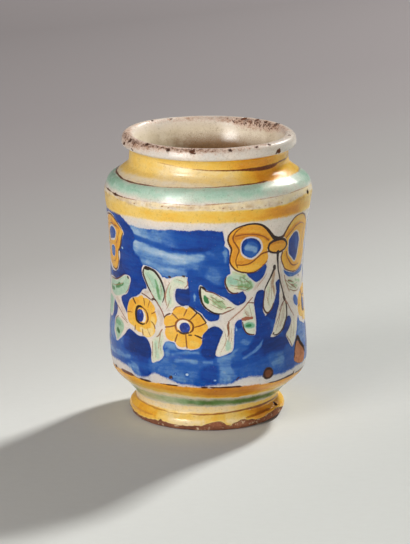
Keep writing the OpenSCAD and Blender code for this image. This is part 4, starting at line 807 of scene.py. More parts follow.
def paint_left_edge(S):
    """Right-hand part of the bow at the left-hand edge, and the leaves under it."""
    S.fill("reserve", [(-54.9, 101.8), (-57.3, 104.8), (-60, 106.2), (-64, 107.8), (-68, 109.8), (-76, 110), (-84, 107), (-92, 101), (-93, 92), (-84, 83), (-76, 80), (-69, 79.8), (-64.8, 81.2), (-62.6, 83.6), (-61.8, 86.5), (-60.9, 88.5), (-60.6, 90.7),
                       (-61.6, 92), (-60, 93.6), (-58.4, 96.4), (-56.6, 99.8)])
    S.fill("reserve", BARE_E, m=3)
    S.fill("reserve", [(-70, 65), (-71.6, 60), (-73.4, 55.6), (-79, 54), (-86, 57), (-86, 66), (-76, 67)])
    for shape, t, h in ((LEAF_L, 0.26, 0.2), (LEAF_M, 0.30, 0.3)):
        leaf(S, shape, 0, t, h)
    S.fill("grn", [(-71.4, 64.6), (-73, 60), (-75, 56), (-80, 55.4), (-85, 59), (-83, 65)], 0.30, hue=0.1, edge=0.9)
    G = lambda p, w, t, h, o=0.85, s=1.0: (S.shade(p, t, o, s, hw=w, key="grn"), S.shade(p, h, o, s, hw=w, key="hue"))
    G([(-67, 71.8), (-62, 73.6), (-57.6, 75)], [0.9, 1.0, 0.4], 0.60, 0.45)
    G([(-75, 69.6), (-70, 70)], [1.3, 1.0], 0.64, 0.4)
    G([(-56, 77.6), (-60, 75.4)], [0.7, 0.9], 0.16, 0.2)
    G([(-64.4, 49.6), (-62.6, 48.6)], [1.0, 0.8], 0.78, 0.5, 0.9, 0.7)
    G([(-66, 53.6), (-62, 53.4)], [1.0, 1.0], 0.46, 0.3)
    S.fill("yel", LOOP_X, 0.56)
    S.shade([(-72, 106), (-66, 105.2), (-61, 103.4)], 0.72, 0.7, 1.0, hw=0.8, key="yel")
    S.shade([(-62, 97), (-65, 94), (-66.4, 90)], 0.70, 0.7, 1.0, hw=0.8, key="yel")
    S.shade([(-58, 102), (-60, 99)], 0.42, 0.7, 1.0, hw=0.9, key="yel")
    S.cut("yel", HOLE_X)
    S.fill("hole", BLUE_X, 0.66, "blue")
    S.fill("hole", [(-67.4, 92.6), (-70, 93.4), (-74.4, 92), (-74.6, 88), (-70, 87), (-67.6, 89)], 0.44, "blue", grow=-0.3)
    S.cut("yel", [(-67.4, 92.6), (-70, 93.4), (-74.4, 92), (-74.6, 88), (-70, 87), (-67.6, 89)])
    L = lambda p, w, t: S.fill("line", p, t, hw=w)
    L([(-80, 108), (-75, 109), (-70, 109.2), (-66, 108.2), (-62, 106.5), (-58.6, 104.7), (-57, 103.6)], [0.3, 0.4, 0.46, 0.46, 0.42, 0.36, 0.25], 0.78)
    L([(-55.8, 101.6), (-57, 100.2), (-58.4, 97.2), (-60.2, 93.8), (-62.4, 91.6)], [0.3, 0.36, 0.5, 0.55, 0.45], 0.88)
    L([(-62.8, 91), (-63.1, 88.6), (-62.6, 86.6), (-63.4, 84), (-65.4, 81.7), (-68, 80.8), (-73, 81.3)], [0.3, 0.34, 0.34, 0.38, 0.42, 0.45, 0.35], 0.8)
    L([(-74, 104.4), (-70, 104.6), (-66.4, 104.1), (-63.6, 104.3), (-61.6, 103.6)], [0.25, 0.36, 0.42, 0.42, 0.2], 0.6)
    L([(-60, 102.4), (-61.6, 99.8), (-63.4, 97), (-66, 94.8)], [0.18, 0.26, 0.3, 0.3], 0.55)
    L([(-66.2, 92), (-66, 88.6), (-67.4, 85.6), (-71, 84.6)], [0.24, 0.28, 0.26, 0.2], 0.58)
    L([(-64.4, 62.2), (-61, 60.6), (-57.6, 58.6), (-53.8, 56.4)], [0.35, 0.36, 0.3, 0.2], 0.6)
    L([(-60, 57.4), (-56.6, 56.6), (-53, 55.2)], [0.18, 0.26, 0.22], 0.55)
    L([(-52.7, 79.2), (-52.3, 78.8)], 0.6, 0.92)
    L([(-76, 75.2), (-68, 75.6), (-62, 77.4), (-56, 80)], [0.3, 0.36, 0.36, 0.2], 0.8)
    L([(-51.3, 75.4), (-52.6, 72.6), (-55, 70.4)], [0.2, 0.26, 0.2], 0.6)
    L([(-75, 71.6), (-66, 72.8), (-58, 75.2)], 0.2, 0.5)
    L([(-68.8, 51), (-67.2, 54.6), (-63.8, 56.9)], [0.2, 0.3, 0.25], 0.66)
    B = lambda p, w, o=0.5, s=1.0: S.shade(p, 1.0, o, s, hw=w, key="brn")
    B([(-66, 66), (-61, 63.6), (-56, 59.6)], [0.6, 0.7, 0.5], 0.3, 1.4)


def wash_left_edge(S):
    P = lambda p, t, o=0.9, s=1.4: S.shade(p, t, o, s)
    W = lambda p, w, t, o=0.9, s=1.2: S.shade(p, t, o, s, hw=w)
    P([(-66, 114), (-57, 112), (-53, 109.4), (-50, 107), (-46.6, 104), (-45.4, 101), (-47, 97.5), (-47.4, 94.5), (-45.4, 92.8), (-42.6, 91.3), (-40.9, 89), (-40, 86), (-39.8, 82), (-36.8, 76), (-40, 73.6), (-47, 69), (-53, 61), (-60, 68), (-50, 78), (-60, 82),
       (-62, 92), (-58, 96), (-55, 101), (-60, 106)], 0.84, 0.95, 1.0)
    W([(-61.4, 91.6), (-61, 87), (-60.6, 82.4)], [1.0, 2.0, 1.6], 0.95, 0.85)
    W([(-56, 96), (-52, 90), (-48, 84)], [2.0, 3.0, 2.0], 0.76, 0.6, 2.4)
    W([(-57.9, 93.8), (-57.2, 93.6)], 0.55, 0.02, 0.9, 0.5)
    P([(-76, 80.4), (-66, 80), (-58, 83), (-55.6, 80.8), (-62, 77.6), (-70, 76.4)], 0.93, 0.92, 0.9)
    P([(-73, 64), (-66, 62.6), (-64.8, 60), (-70, 54.4)], 0.90, 0.92, 0.9)
    P([(-80, 44), (-66, 42.6), (-60, 44.4), (-57, 41), (-64, 39), (-80, 39)], 0.64, 0.85, 1.4)
    W([(-80, 36.6), (-70, 37), (-62, 37.4)], 1.3, 0.30, 0.8)
    W([(-80, 34), (-70, 34.4), (-62, 34.6)], 0.9, 0.56, 0.8)


BLUE_TOP = [(-180, 108), (-160, 107.6), (-140, 108.4), (-120, 108.6), (-110, 112), (-74, 112.6), (-66, 112.3), (-60, 111.6), (-57, 111), (-54, 109.5), (-52, 108.3), (-50, 107.4), (-46, 106.9), (-40, 106.6), (-30, 107), (-20, 107.5), (-10, 107.7), (0, 107.9),
            (6, 107.5), (10, 107), (30, 107.6), (60, 108), (90, 107.4), (110, 107), (130, 108), (150, 107.6)]
BLUE_LOW = [(-180, 29.6), (-160, 28.8), (-140, 30.2), (-120, 29), (-100, 30.6), (-85, 32), (-75, 32), (-65, 33), (-55, 32.6), (-51, 31.6), (-48, 29.4), (-45, 28.2), (-42, 28), (-38, 29), (-36, 30), (-34, 31.6), (-30, 31.8), (-26, 30.4), (-22, 29.4), (-18, 28), (-12, 27.4),
            (-6, 27), (-2, 27.2), (2, 27.6), (5, 28), (10, 28), (15, 29.3), (18, 30.8), (25, 31), (30, 30.6), (36, 30), (42, 29.6), (52, 29.5), (58, 30.4), (75, 30.6), (95, 29.2), (115, 30.4), (135, 29), (155, 30.2)]

LINE_CARIN = [(-180, 27), (-150, 26.4), (-120, 27.2), (-90, 28), (-72, 28), (-60, 28.2), (-50, 28), (-46, 27.2), (-40, 27), (-28, 26.8), (-22, 26.8), (-13, 26.6), (-3, 26.5), (5, 26.4), (15, 26.4), (30, 26.1), (42, 25.9), (50, 26.4), (56, 26.8), (66, 26.7), (80, 26.4), (110, 26.8), (145, 26.2)]
W_CARIN = [(-180, 0.4), (-165, -0.1), (-150, 0.6), (-135, 0.45), (-120, -0.2), (-105, 0.55), (-85, 0.4), (-75, 0.2), (-73, 0.85), (-70, 0.85), (-68.5, -0.2), (-63.5, -0.1), (-62, 0.8), (-56, 1.0), (-51, 0.9), (-49, 0.12), (-44.5, 0.15), (-43, 0.45), (-37, 0.5), (-35, 0.05),
           (-30, -0.1), (-29, 0.3), (-26, 0.2), (-24, 0.32), (-19, 0.34), (-17, -0.2), (-13.6, -0.1), (-13, 0.25), (-12.2, -0.15), (-5, -0.2), (-4, 0.4), (-1.4, 0.5), (-0.4, 0.05), (1.4, 0.45), (10, 0.55), (18, 0.55), (20, -0.1), (30, -0.1), (31, 0.3), (32, -0.1), (36, -0.05),
           (38, 0.35), (46, 0.38), (49, 0.55), (58, 0.6), (60.4, -0.1), (62, 0.3), (69, 0.35), (72, 0.6), (80, 0.4), (95, -0.1), (110, 0.55), (125, 0.4), (140, -0.1), (155, 0.5), (170, 0.55)]
LINE_A = [(-180, 129.2), (-140, 129.4), (-100, 129.6), (-75, 129.2), (-60, 128.5), (-50, 128.3), (-30, 128.2), (-20, 128.5), (-10, 128.7), (0, 128.9), (10, 129.3), (20, 129.6), (30, 129.8), (38, 130.2), (55, 130.3), (80, 130), (110, 129.4), (150, 128.8)]
LINE_2 = [(-180, 122), (-140, 121.6), (-100, 122.2), (-75, 122), (-70, 121.8), (-65, 121.4), (-60, 121), (-50, 120.8), (-40, 120.8), (-20, 120.9), (-10, 120.6), (0, 121), (10, 121.6), (20, 122), (30, 122.5), (40, 122.8), (50, 123.2), (60, 123.7), (80, 123.4), (120, 122.4), (150, 121.8)]
LINE_NECK = [(-180, 138.4), (-120, 139.2), (-80, 140.2), (-48, 140.4), (-40, 140.5), (-30, 140), (-20, 139.3), (-10, 138.5), (0, 137.9), (10, 137.6), (20, 137.4), (30, 137), (40, 136.6), (50, 136.9), (55, 137.3), (60, 138), (68, 137.9), (90, 138.4), (130, 138.2)]
LINE_FOOT = [(-180, 8.9), (-100, 8.8), (-75, 8.6), (-60, 8.7), (-45, 8.4), (-35, 8.2), (-30, 7.9), (-20, 8), (-12, 8.3), (-5, 8.1), (0, 8.2), (10, 8.5), (20, 8.9), (30, 9.3), (40, 9.5), (50, 9.6), (60, 9.9), (80, 9.5), (120, 9)]
FOOT_EDGE = [(-180, 3.4), (-168, 2.8), (-155, 4.4), (-146, 3.2), (-135, 2.6), (-124, 4), (-112, 3.6), (-100, 2.4), (-88, 3.4), (-78, 3.6), (-60, 2.6), (-50, 2.6), (-42, 3.2), (-37.4, 3.2), (-36, 4), (-34.6, 3.2), (-30, 3), (-25, 2.7), (-15, 2.7), (-13, 3.1), (-5, 3), (-2, 3.3),
             (0, 3.9), (3, 4.6), (7, 5.1), (10, 5), (12, 4.2), (14, 2.9), (17, 2.7), (19, 3.8), (22, 4), (25, 4.8), (28, 4.9), (30, 4.3), (35, 4.3), (37, 3.6), (42, 3.6), (46, 4), (50, 4.7), (55, 5), (60, 5.5), (66, 5.4), (72, 4.2), (80, 3.2), (92, 3.6), (104, 4.6),
             (116, 3), (128, 2.6), (140, 3.8), (152, 3), (166, 4.2)]


def paint(th, z, s, in_lip):
    """All painted fields at skin points: th degrees, z height before the lip's tilt, s length along the skin."""
    S = Sheet(th, z)
    T, Z, SS = S.th, S.z, s.ravel()
    wT, wZ = S.wth, S.wz
    TT = ((T + 180) % 360) - 180
    # -- wall
    if Z.min() < 113 and Z.max() > 24:
        top, low = around(wT, BLUE_TOP), around(wT, BLUE_LOW)
        rag = 0.45 * ring_noise(T, Z, 5.0, 41) + 0.35 * ring_noise(T, Z, 1.6, 42)
        S.f["ground"] = np.maximum((wZ - top + rag) * 0.55, (low - wZ + rag) * 0.24)
        S.tone["blue"] += 0.10 * ring_noise(T, Z * 2.0, 14, 43)
        for d in (0, 120.5, 229):
            wash_mid(S, d)
        for d in (0, 110, 222):
            wash_bow(S, d)
        wash_left_edge(S)
        # near the base the brush was fuller, so the pale touches there are fainter
        S.tone["blue"] += 0.55 * np.maximum(0.42 - S.tone["blue"], 0) * sstep(52, 44, Z)
        # the brush left streaks that slope a little
        zs = Z + 4.0 * np.sin(np.radians(2 * (T + 20)))
        S.tone["blue"] += 0.08 * ring_noise(T, zs * 6.0, 10.0, 45) + 0.04 * ring_noise(T, zs * 5.0, 4.0, 46)
        paint_left_edge(S)
        for d in (0, 120.5, 229):
            paint_mid(S, d)
        for d in (0, 110, 222):
            paint_bow_left(S, d)
        for d in (0, 110):
            paint_bow_right(S, d)
        # bare patches in the glaze: a long chip at the lower right, a round spot, kiln marks
        S.fill("chip", [(58.2, 35.4), (58.8, 37.6), (60, 41), (61.6, 43.2), (63.6, 43.7), (66, 42), (69, 40), (72, 37.5), (75, 35), (72, 31), (66, 31.2), (61, 32.6), (58.6, 34)], 0.30)
        S.fill("chip", [(58.4, 36), (59, 39), (60, 41.8), (61.6, 44.4), (63.4, 45.6), (65.4, 44), (67.4, 42), (70, 40.2), (72.6, 38.2), (75, 35.6)], 0.97, hw=[0.15, 0.2, 0.35, 0.7, 0.9, 0.9, 0.8, 0.8, 0.7, 0.4])
        S.fill("chip", [(32.9, 31.4), (33.8, 33.3), (35.8, 34), (38, 33.2), (38.8, 31.4), (37.8, 29.4), (35.6, 28.7), (33.6, 29.6)], 0.72)
        S.fill("chip", oval(35.8, 31.4, 3.2, 2.8, 14) + [(39.0, 31.4)], 0.95, hw=[0.2, 0.25, 0.3, 0.4, 0.45, 0.3, 0.2, 0.3, 0.4, 0.3, 0.25, 0.2, 0.3, 0.35, 0.2])
        S.fill("chip", [(203, 40), (205, 42), (207.4, 40.4), (206, 38)], 0.45)
        for (a, b, r) in ((-22, 31, 0.9), (-19, 33, 0.4), (-12.3, 33.2, 0.9)):
            S.shade(oval(a, b, r * 1.15, r, 9), 0.95, 0.8, 0.7)
            S.shade([(a - 0.1, b), (a + 0.1, b)], 0.04, 0.9, 0.5, hw=0.45 * r)
        S.shade([(-12.5, 33.2), (-12, 33.3)], 0.02, 0.9, 0.6, hw=0.6)
        S.shade([(3.1, 30.5), (3.6, 30.5)], 0.02, 0.9, 0.6, hw=0.5)
        S.fill("line", [(15.5, 30.2), (16.4, 31.2), (17.2, 31.7)], 0.9, hw=[0.2, 0.3, 0.25])
        S.fill("line", [(59, 26.6), (59.2, 28.5)], 0.95, hw=[0.4, 0.25])
    # -- bands: yellow, cream and green, some with soft edges
    def band(key, lo, hi, tone, rag=0.25, wave=3.0, seed=51, soft=1.0, hue=None):
        sd = (np.maximum(lo - wZ, wZ - hi) + rag * ring_noise(T, Z, wave, seed)) / soft
        f, t = S.f[key], S.tone[key]
        w = 1 - sstep(0.0, 0.8, sd)
        t[:] = t * (1 - w) + tone * w
        if hue is not None:
            h = S.tone["hue"]
            h[:] = h * (1 - w) + hue * w
        S.f[key] = np.minimum(f, sd)
    patch = ring_noise(T, Z, 22, 61)
    fine = ring_noise(T, Z * 2.2, 6, 62)
    out = ~in_lip.ravel()
    if Z.max() > 110 and np.any(out):
        ty = around(T, [(-180, 0.42), (-110, 0.42), (-70, 0.34), (-40, 0.34), (-10, 0.38), (12, 0.46), (26, 0.58), (40, 0.72), (58, 0.68), (66, 0.5), (90, 0.42), (130, 0.5)])
        hy = around(T, [(-180, 118.6), (-110, 119.2), (-75, 121), (-62, 120.6), (-54, 119.8), (-44, 118.9), (-30, 118.5), (38, 118.5), (48, 118.9), (56, 120.2), (62, 121.2), (78, 121.6), (100, 119.4), (130, 118.6)])
        band("yel", 111.4 + 0.3 * ring_noise(T, 0 * Z, 30.0, 63), hy, ty - 0.10 * sstep(115, 118.6, Z) - 0.12 * sstep(113.2, 111.2, Z) + 0.09 * patch + 0.08 * fine, 0.5, 6.0, soft=3.4)
        band("yel", hy - 0.2, around(wT, LINE_2), 0.07 + 0.05 * fine, 0.5, soft=1.6)
        # grime where the shoulder turns
        grime = np.clip(0.42 + 0.9 * ring_noise(T, Z * 1.6, 4.0, 64) + 0.7 * ring_noise(T, Z, 1.3, 65), 0, 1) * np.exp(-((Z - 119.3 - 0.6 * ring_noise(T, 0 * Z, 7.0, 66)) / 1.5) ** 2)
        S.tone["brn"] = np.maximum(S.tone["brn"], np.where(out, 0.55 * grime, 0))
        top_c = around(T, [(-180, 131.2), (-75, 131.8), (-50, 132.3), (-30, 132.2), (-10, 131.6), (0, 130.6), (10, 129.6), (40, 129.8), (70, 130.2), (90, 131), (120, 131.2)])
        band("yel", around(wT, LINE_A), top_c + 1.2, 0.05, 0.2)
        tn_lo = around(T, [(-180, 0.36), (-110, 0.38), (-70, 0.32), (-42, 0.28), (-30, 0.16), (-5, 0.15), (18, 0.22), (28, 0.46), (36, 0.68), (52, 0.68), (62, 0.5), (90, 0.4), (130, 0.42)])
        tn_hi = around(T, [(-180, 0.40), (-70, 0.34), (-40, 0.32), (-5, 0.32), (15, 0.48), (24, 0.60), (45, 0.66), (58, 0.5), (90, 0.4), (130, 0.42)])
        k = sstep(-0.6, 0.8, Z - around(T, LINE_NECK))
        band("yel", top_c, around(T, [(-180, 142.8), (-60, 142.4), (-45, 142.6), (-25, 143.2), (0, 143.4), (20, 143.5), (40, 143.3), (55, 142.8), (80, 142.8)]), tn_lo * (1 - k) + tn_hi * k + 0.05 * patch + 0.05 * fine, 0.4, 8.0, soft=2.4)
        # the green of the shoulder thins out downwards
        lowg = around(T, [(-180, 122), (-75, 123.6), (-60, 122.8), (-40, 122), (-20, 121.6), (10, 121.8), (30, 122.6), (70, 124), (120, 122.6)])
        thin = sstep(0, 3.4, Z - lowg)
        # the green is paler from about 40 to 56 degrees: a painted sheen where the key light's glare falls on the
        # shoulder
        tg = around(T, [(-180, 0.27), (-75, 0.31), (-55, 0.28), (-35, 0.24), (-10, 0.22), (15, 0.24), (28, 0.25), (40, 0.15), (56, 0.14), (75, 0.24), (130, 0.27)])
        band("grn", lowg, around(wT, LINE_A), tg * (0.62 + 0.38 * thin) + 0.05 * patch + 0.05 * fine, 0.8, 5.0, 52, soft=2.4, hue=0.06)
    if Z.min() < 30:
        lo_o = around(T, [(-180, 20.6), (-60, 22), (-50, 22), (-20, 21.7), (0, 20.2), (20, 19.5), (40, 20.5), (60, 20.4), (110, 20.8)])
        to = around(T, [(-180, 0.62), (-100, 0.62), (-60, 0.58), (-30, 0.60), (-8, 0.68), (5, 0.76), (25, 0.76), (34, 0.64), (45, 0.60), (70, 0.62), (120, 0.66)])
        band("yel", lo_o, around(wT, LINE_CARIN), to + 0.06 * patch + 0.06 * fine - 0.16 * (1 - sstep(0, 2.2, Z - lo_o)), 0.6, soft=2.2)
        tc = around(T, [(-180, 0.12), (-60, 0.12), (-20, 0.09), (15, 0.10), (28, 0.24), (40, 0.36), (60, 0.32), (90, 0.18), (130, 0.12)])
        band("yel", 18.6, lo_o + 1.0, 0.055 + 0.04 * fine + 0.03 * patch, 0.5, soft=1.8)
        band("yel", 11.2, 12.6, 0.075 + 0.04 * fine + 0.03 * patch, 0.5, soft=1.8)
        band("yel", lo_o, around(wT, LINE_CARIN), to + 0.06 * patch + 0.06 * fine - 0.16 * (1 - sstep(0, 2.2, Z - lo_o)), 0.6, soft=2.2)
        band("yel", 8.4, 11.8, tc + 0.05 * patch + 0.04 * fine, 0.4, soft=1.6)
        gt = around(T, [(-180, 0.42), (-120, 0.34), (-80, 0.34), (-60, 0.30), (-42, 0.28), (-26, 0.32), (-16, 0.42), (-12, 0.62), (-8, 0.48), (-3, 0.62), (6, 0.54), (15, 0.54), (22, 0.66), (28, 0.64), (36, 0.58), (55, 0.56), (80, 0.46), (110, 0.58), (140, 0.5)])
        gh = around(T, [(-180, 0.6), (-80, 0.7), (-50, 0.8), (-34, 0.52), (-15, 0.44), (10, 0.48), (28, 0.56), (36, 0.72), (55, 0.78), (90, 0.6), (140, 0.55)])
        band("grn", 13.2, around(T, [(-180, 17.4), (-70, 18.8), (-45, 18.8), (-25, 18.2), (0, 17.5), (30, 17.2), (60, 17.4), (110, 17.4)]), gt + 0.07 * patch + 0.07 * fine, 0.8, 5.0, 53, soft=3.2, hue=gh)
        # the foot is paler at the front left, from about -32 to -2 degrees: partly the glaze's own cream, partly a
        # painted sheen where the lights shine on the foot
        ftone = around(T, [(-180, 0.46), (-120, 0.5), (-65, 0.52), (-42, 0.46), (-32, 0.24), (-12, 0.20), (2, 0.30), (24, 0.36), (34, 0.62), (46, 0.74), (58, 0.66), (90, 0.45), (130, 0.4)])
        band("yel", 0.8, 8.6, ftone + 0.08 * patch + 0.10 * fine, 0.1)
        for (p, w, t, o) in (([(-28, 4.4), (-18, 4.2), (-6, 4.6)], 0.9, 0.08, 0.75), ([(-3, 6.4), (-2.4, 4.0)], 0.5, 0.05, 0.7), ([(15, 5.6), (22, 5.0), (28, 5.4)], 0.8, 0.08, 0.75), ([(-62, 6.6), (-52, 6.0), (-42, 6.0)], 0.8, 0.62, 0.7),
                             ([(4, 6.6), (12, 6.8)], 0.6, 0.50, 0.6), ([(-20, 6.9), (-10, 6.6)], 0.5, 0.44, 0.6), ([(100, 5), (112, 4.6)], 0.9, 0.08, 0.7), ([(150, 5.4), (170, 5)], 0.8, 0.10, 0.7), ([(-120, 5.6), (-104, 5)], 0.8, 0.1, 0.7), ([(-165, 6.4), (-140, 6.2)], 0.6, 0.6, 0.6)):
            S.shade(p, t, o, 2.2, hw=w, key="yel")
        # glaze is pale where it is thick along its ragged lower edge
        fe = around(T, FOOT_EDGE)
        k = 0.65 * (1 - sstep(0.2, 1.0, Z - fe)) * (Z < 8)
        S.tone["yel"] = S.tone["yel"] * (1 - k) + 0.10 * k
    # -- ring lines
    def rline(zs, hw, tone, broken=0.0, seed=81, soft=1.0):
        w = hw + broken * ring_noise(T, 0 * Z, 5.0, seed) + 0.5 * broken * ring_noise(T, 0 * Z, 1.6, seed + 1)
        sd = (np.abs(0.5 * (wZ + Z) - zs) - w) / soft
        k = 1 - sstep(0.0, 0.5, sd)
        S.tone["line"][:] = S.tone["line"] * (1 - k) + tone * k
        S.f["line"] = np.minimum(S.f["line"], sd)
    if Z.max() > 110 and np.any(out):
        rline(around(wT, LINE_A), around(T, [(-180, 0.2), (-120, 0.25), (-70, 0.26), (-45, 0.26), (-34, 0.16), (-28, 0.04), (-20, 0.14), (-3, 0.2), (15, 0.2), (20, 0.28), (36, 0.28), (42, -0.1), (60, -0.1), (80, 0.05), (110, 0.25)]),
              around(T, [(-180, 0.6), (-65, 0.74), (-45, 0.7), (-20, 0.46), (10, 0.5), (22, 0.66), (38, 0.66), (110, 0.6)]), 0.10, 83)
        rline(around(wT, LINE_2), around(T, [(-180, 0.1), (-75, 0.24), (-66, 0.3), (-60, 0.44), (-55, 0.24), (-48, 0.14), (-40, 0.06), (-20, 0.14), (5, 0.16), (20, 0.12), (60, 0.1), (80, 0.1)]),
              around(T, [(-180, 0.45), (-66, 0.8), (-58, 0.85), (-48, 0.5), (0, 0.42), (60, 0.4)]), 0.22, 85)
        hwn = around(T, [(-180, 0.3), (-120, 0.25), (-80, -0.3), (-44, -0.3), (-37, 0.14), (-30, 0.16), (-24, 0.04), (-14, 0.06), (-6, 0.26), (8, 0.32), (20, 0.32), (25, 0.56), (32, 0.92), (40, 1.15), (47, 1.2), (53, 0.9), (58, 0.4), (70, 0.28), (110, 0.3)])
        tn = around(T, [(-180, 0.6), (-60, 0.5), (-20, 0.45), (-5, 0.58), (10, 0.66), (25, 0.70), (45, 0.72), (56, 0.66), (110, 0.6)])
        rline(around(wT, LINE_NECK), hwn, tn, 0.10, 89, 1.8)
        for (a, b, r) in ((-43, 119, 0.3), (-25, 119.2, 0.42), (-21.4, 118.9, 0.36), (3, 118.8, 0.3), (8, 119.2, 0.34), (12, 118.7, 0.3), (18, 119, 0.36), (24, 117.5, 0.34), (32, 119, 0.3), (43, 119.3, 0.36), (70.8, 121, 0.9), (-58, 119, 0.26), (-9, 119.4, 0.2)):
            S.fill("line", [(a - 0.45, b - 0.1), (a + 0.1, b + 0.08), (a + 0.5, b - 0.05)], 0.56 if r < 0.5 else 0.95, hw=[0.4 * r, 0.62 * r, 0.3 * r] if r < 0.5 else r)
        # painted highlight: a white glint on the cream band where the shoulder turns, at the front left
        S.fill("wht", [(-20, 118.8), (-17.4, 118.7)], hw=0.5)
    if Z.min() < 30:
        rline(around(wT, LINE_CARIN), around(T, W_CARIN), around(T, [(-180, 0.85), (-75, 0.9), (-62, 0.72), (-50, 0.75), (-42, 0.88), (0, 0.86), (20, 0.84), (60, 0.92), (110, 0.85)]), 0.14, 93)
        rline(around(wT, LINE_FOOT), around(T, [(-180, 0.35), (-100, 0.3), (-60, 0.34), (-40, 0.3), (-30, 0.12), (-16, 0.1), (-12, 0.3), (10, 0.36), (22, 0.42), (30, 0.5), (42, 0.7), (52, 0.66), (65, 0.5), (110, 0.4)]),
              around(T, [(-180, 0.6), (-60, 0.42), (-34, 0.45), (-20, 0.4), (-8, 0.52), (15, 0.55), (25, 0.60), (60, 0.64), (110, 0.6)]), 0.12, 95)
        rline(around(wT, [(-75, 5.6), (-40, 5.6), (28, 5.7), (36, 6.2), (45, 6.8), (58, 7), (180, 6)]), around(T, [(-180, -0.5), (-80, -0.1), (-66, 0.5), (-46, 0.4), (-38, -0.4), (24, -0.5), (31, 0.3), (40, 0.5), (52, 0.46), (58, -0.2), (66, -0.4)]),
              around(T, [(-180, 0.3), (-40, 0.26), (30, 0.55), (58, 0.6)]), 0.2, 97, 1.6)
        S.fill("line", [(65.6, 7.6), (67, 7.4)], 0.96, hw=0.8)
        # a dark seam where the glaze ends over bare clay
        fe = around(T, FOOT_EDGE)
        sd = np.abs(Z - fe - 0.12) - around(T, [(-180, 0.1), (-50, 0.02), (-38, 0.06), (-36, 0.35), (-33, 0.05), (-4, 0.05), (0, 0.22), (12, 0.25), (18, 0.1), (22, 0.3), (60, 0.36), (110, 0.2)]) - 0.10 * fine
        sd = np.where(Z < 8, sd, 6.0)
        k = 1 - sstep(0.0, 0.4, sd)
        S.tone["line"][:] = S.tone["line"] * (1 - k) + 0.66 * k
        S.f["line"] = np.minimum(S.f["line"], sd)
    # -- wear of the lip
    q = SS - S_CREST
    wr = around(T, [(-180, 0.55), (-150, 0.62), (-120, 0.55), (-100, 0.66), (-84, 0.95), (-65, 1.0), (-48, 0.95), (-30, 0.85), (-10, 0.92), (8, 0.85), (22, 0.72), (40, 0.60), (60, 0.42), (85, 0.42), (105, 0.80), (118, 1.0), (150, 1.0), (166, 0.8)])
    qc = around(T, [(-180, 2.2), (-130, 1.6), (-95, -0.6), (-60, -2.2), (-30, -1.9), (0, -1.9), (40, -1.2), (70, -0.4), (95, 1.0), (120, 3.0), (150, 3.2)])
    qw = around(T, [(-180, 2.4), (-120, 2.2), (-84, 4.4), (-66, 4.4), (-40, 3.2), (-10, 3.2), (20, 2.7), (60, 2.0), (100, 3.0), (125, 4.4), (150, 4.2), (168, 3.0)])
    wear = wr * np.exp(-np.abs((q - qc) / qw) ** 2.4)
    wear += 0.26 * np.exp(-((SS - s_out(145.0)) / 3.0) ** 2) * (0.4 + 0.6 * around(T, [(-180, 0.3), (-80, 1), (-45, 0.7), (-20, 0.3), (30, 0.1), (90, 0.1)]))
    edge_n = ring_noise(T, Z, 1.1, 35)
    for (dt, ds, rad, dep) in DENTS:
        if dep < 0.3:
            continue
        dx = (((T - dt + 180) % 360) - 180) * prof(SS)[0] * PI / 180
        m = (np.abs(dx) < 9) & (np.abs(SS - ds) < 9)
        if not np.any(m) or rad > 4:
            continue
        sd = np.hypot(dx[m], SS[m] - ds) - rad * (0.62 + 0.5 * edge_n[m])
        S.f["chip"][m] = np.minimum(S.f["chip"][m], sd)
        k = 1 - sstep(0.0, 0.6, sd)
        S.tone["chip"][m] = S.tone["chip"][m] * (1 - k) + (0.85 if rad < 2.0 else 0.74) * k
    blue = np.minimum(np.maximum(S.f["ground"], -S.f["reserve"]), S.f["hole"])
    F = Sheet.FAR
    c = lambda key: np.clip(S.tone[key], 0, 1)
    return {"a_blue": (blue, F), "a_btone": (c("blue"), 0.6), "a_yel": (S.f["yel"], F), "a_ytone": (c("yel"), 0.4), "a_grn": (S.f["grn"], F), "a_gtone": (c("grn"), 0.2), "a_ghue": (c("hue"), 0.2),
            "a_line": (S.f["line"], F), "a_ltone": (c("line"), 0.8), "a_eye": (S.f["eye"], F), "a_white_and_glint": (S.f["wht"], F), "a_red": (S.f["red"], F), "a_chip": (S.f["chip"], F), "a_ctone": (c("chip"), 0.5),
            "a_wear": (np.clip(wear, 0, 1), 0.0), "a_brn": (c("brn"), 0.0)}


# ------------------------------------------------------------------ materials
def lin(c):
    """A colour as on a screen, 0 to 255, as the linear values that shaders take."""
    return tuple((v / 255 / 12.92) if v <= 10.3 else ((v / 255 + 0.055) / 1.055) ** 2.4 for v in c) + (1.0,)


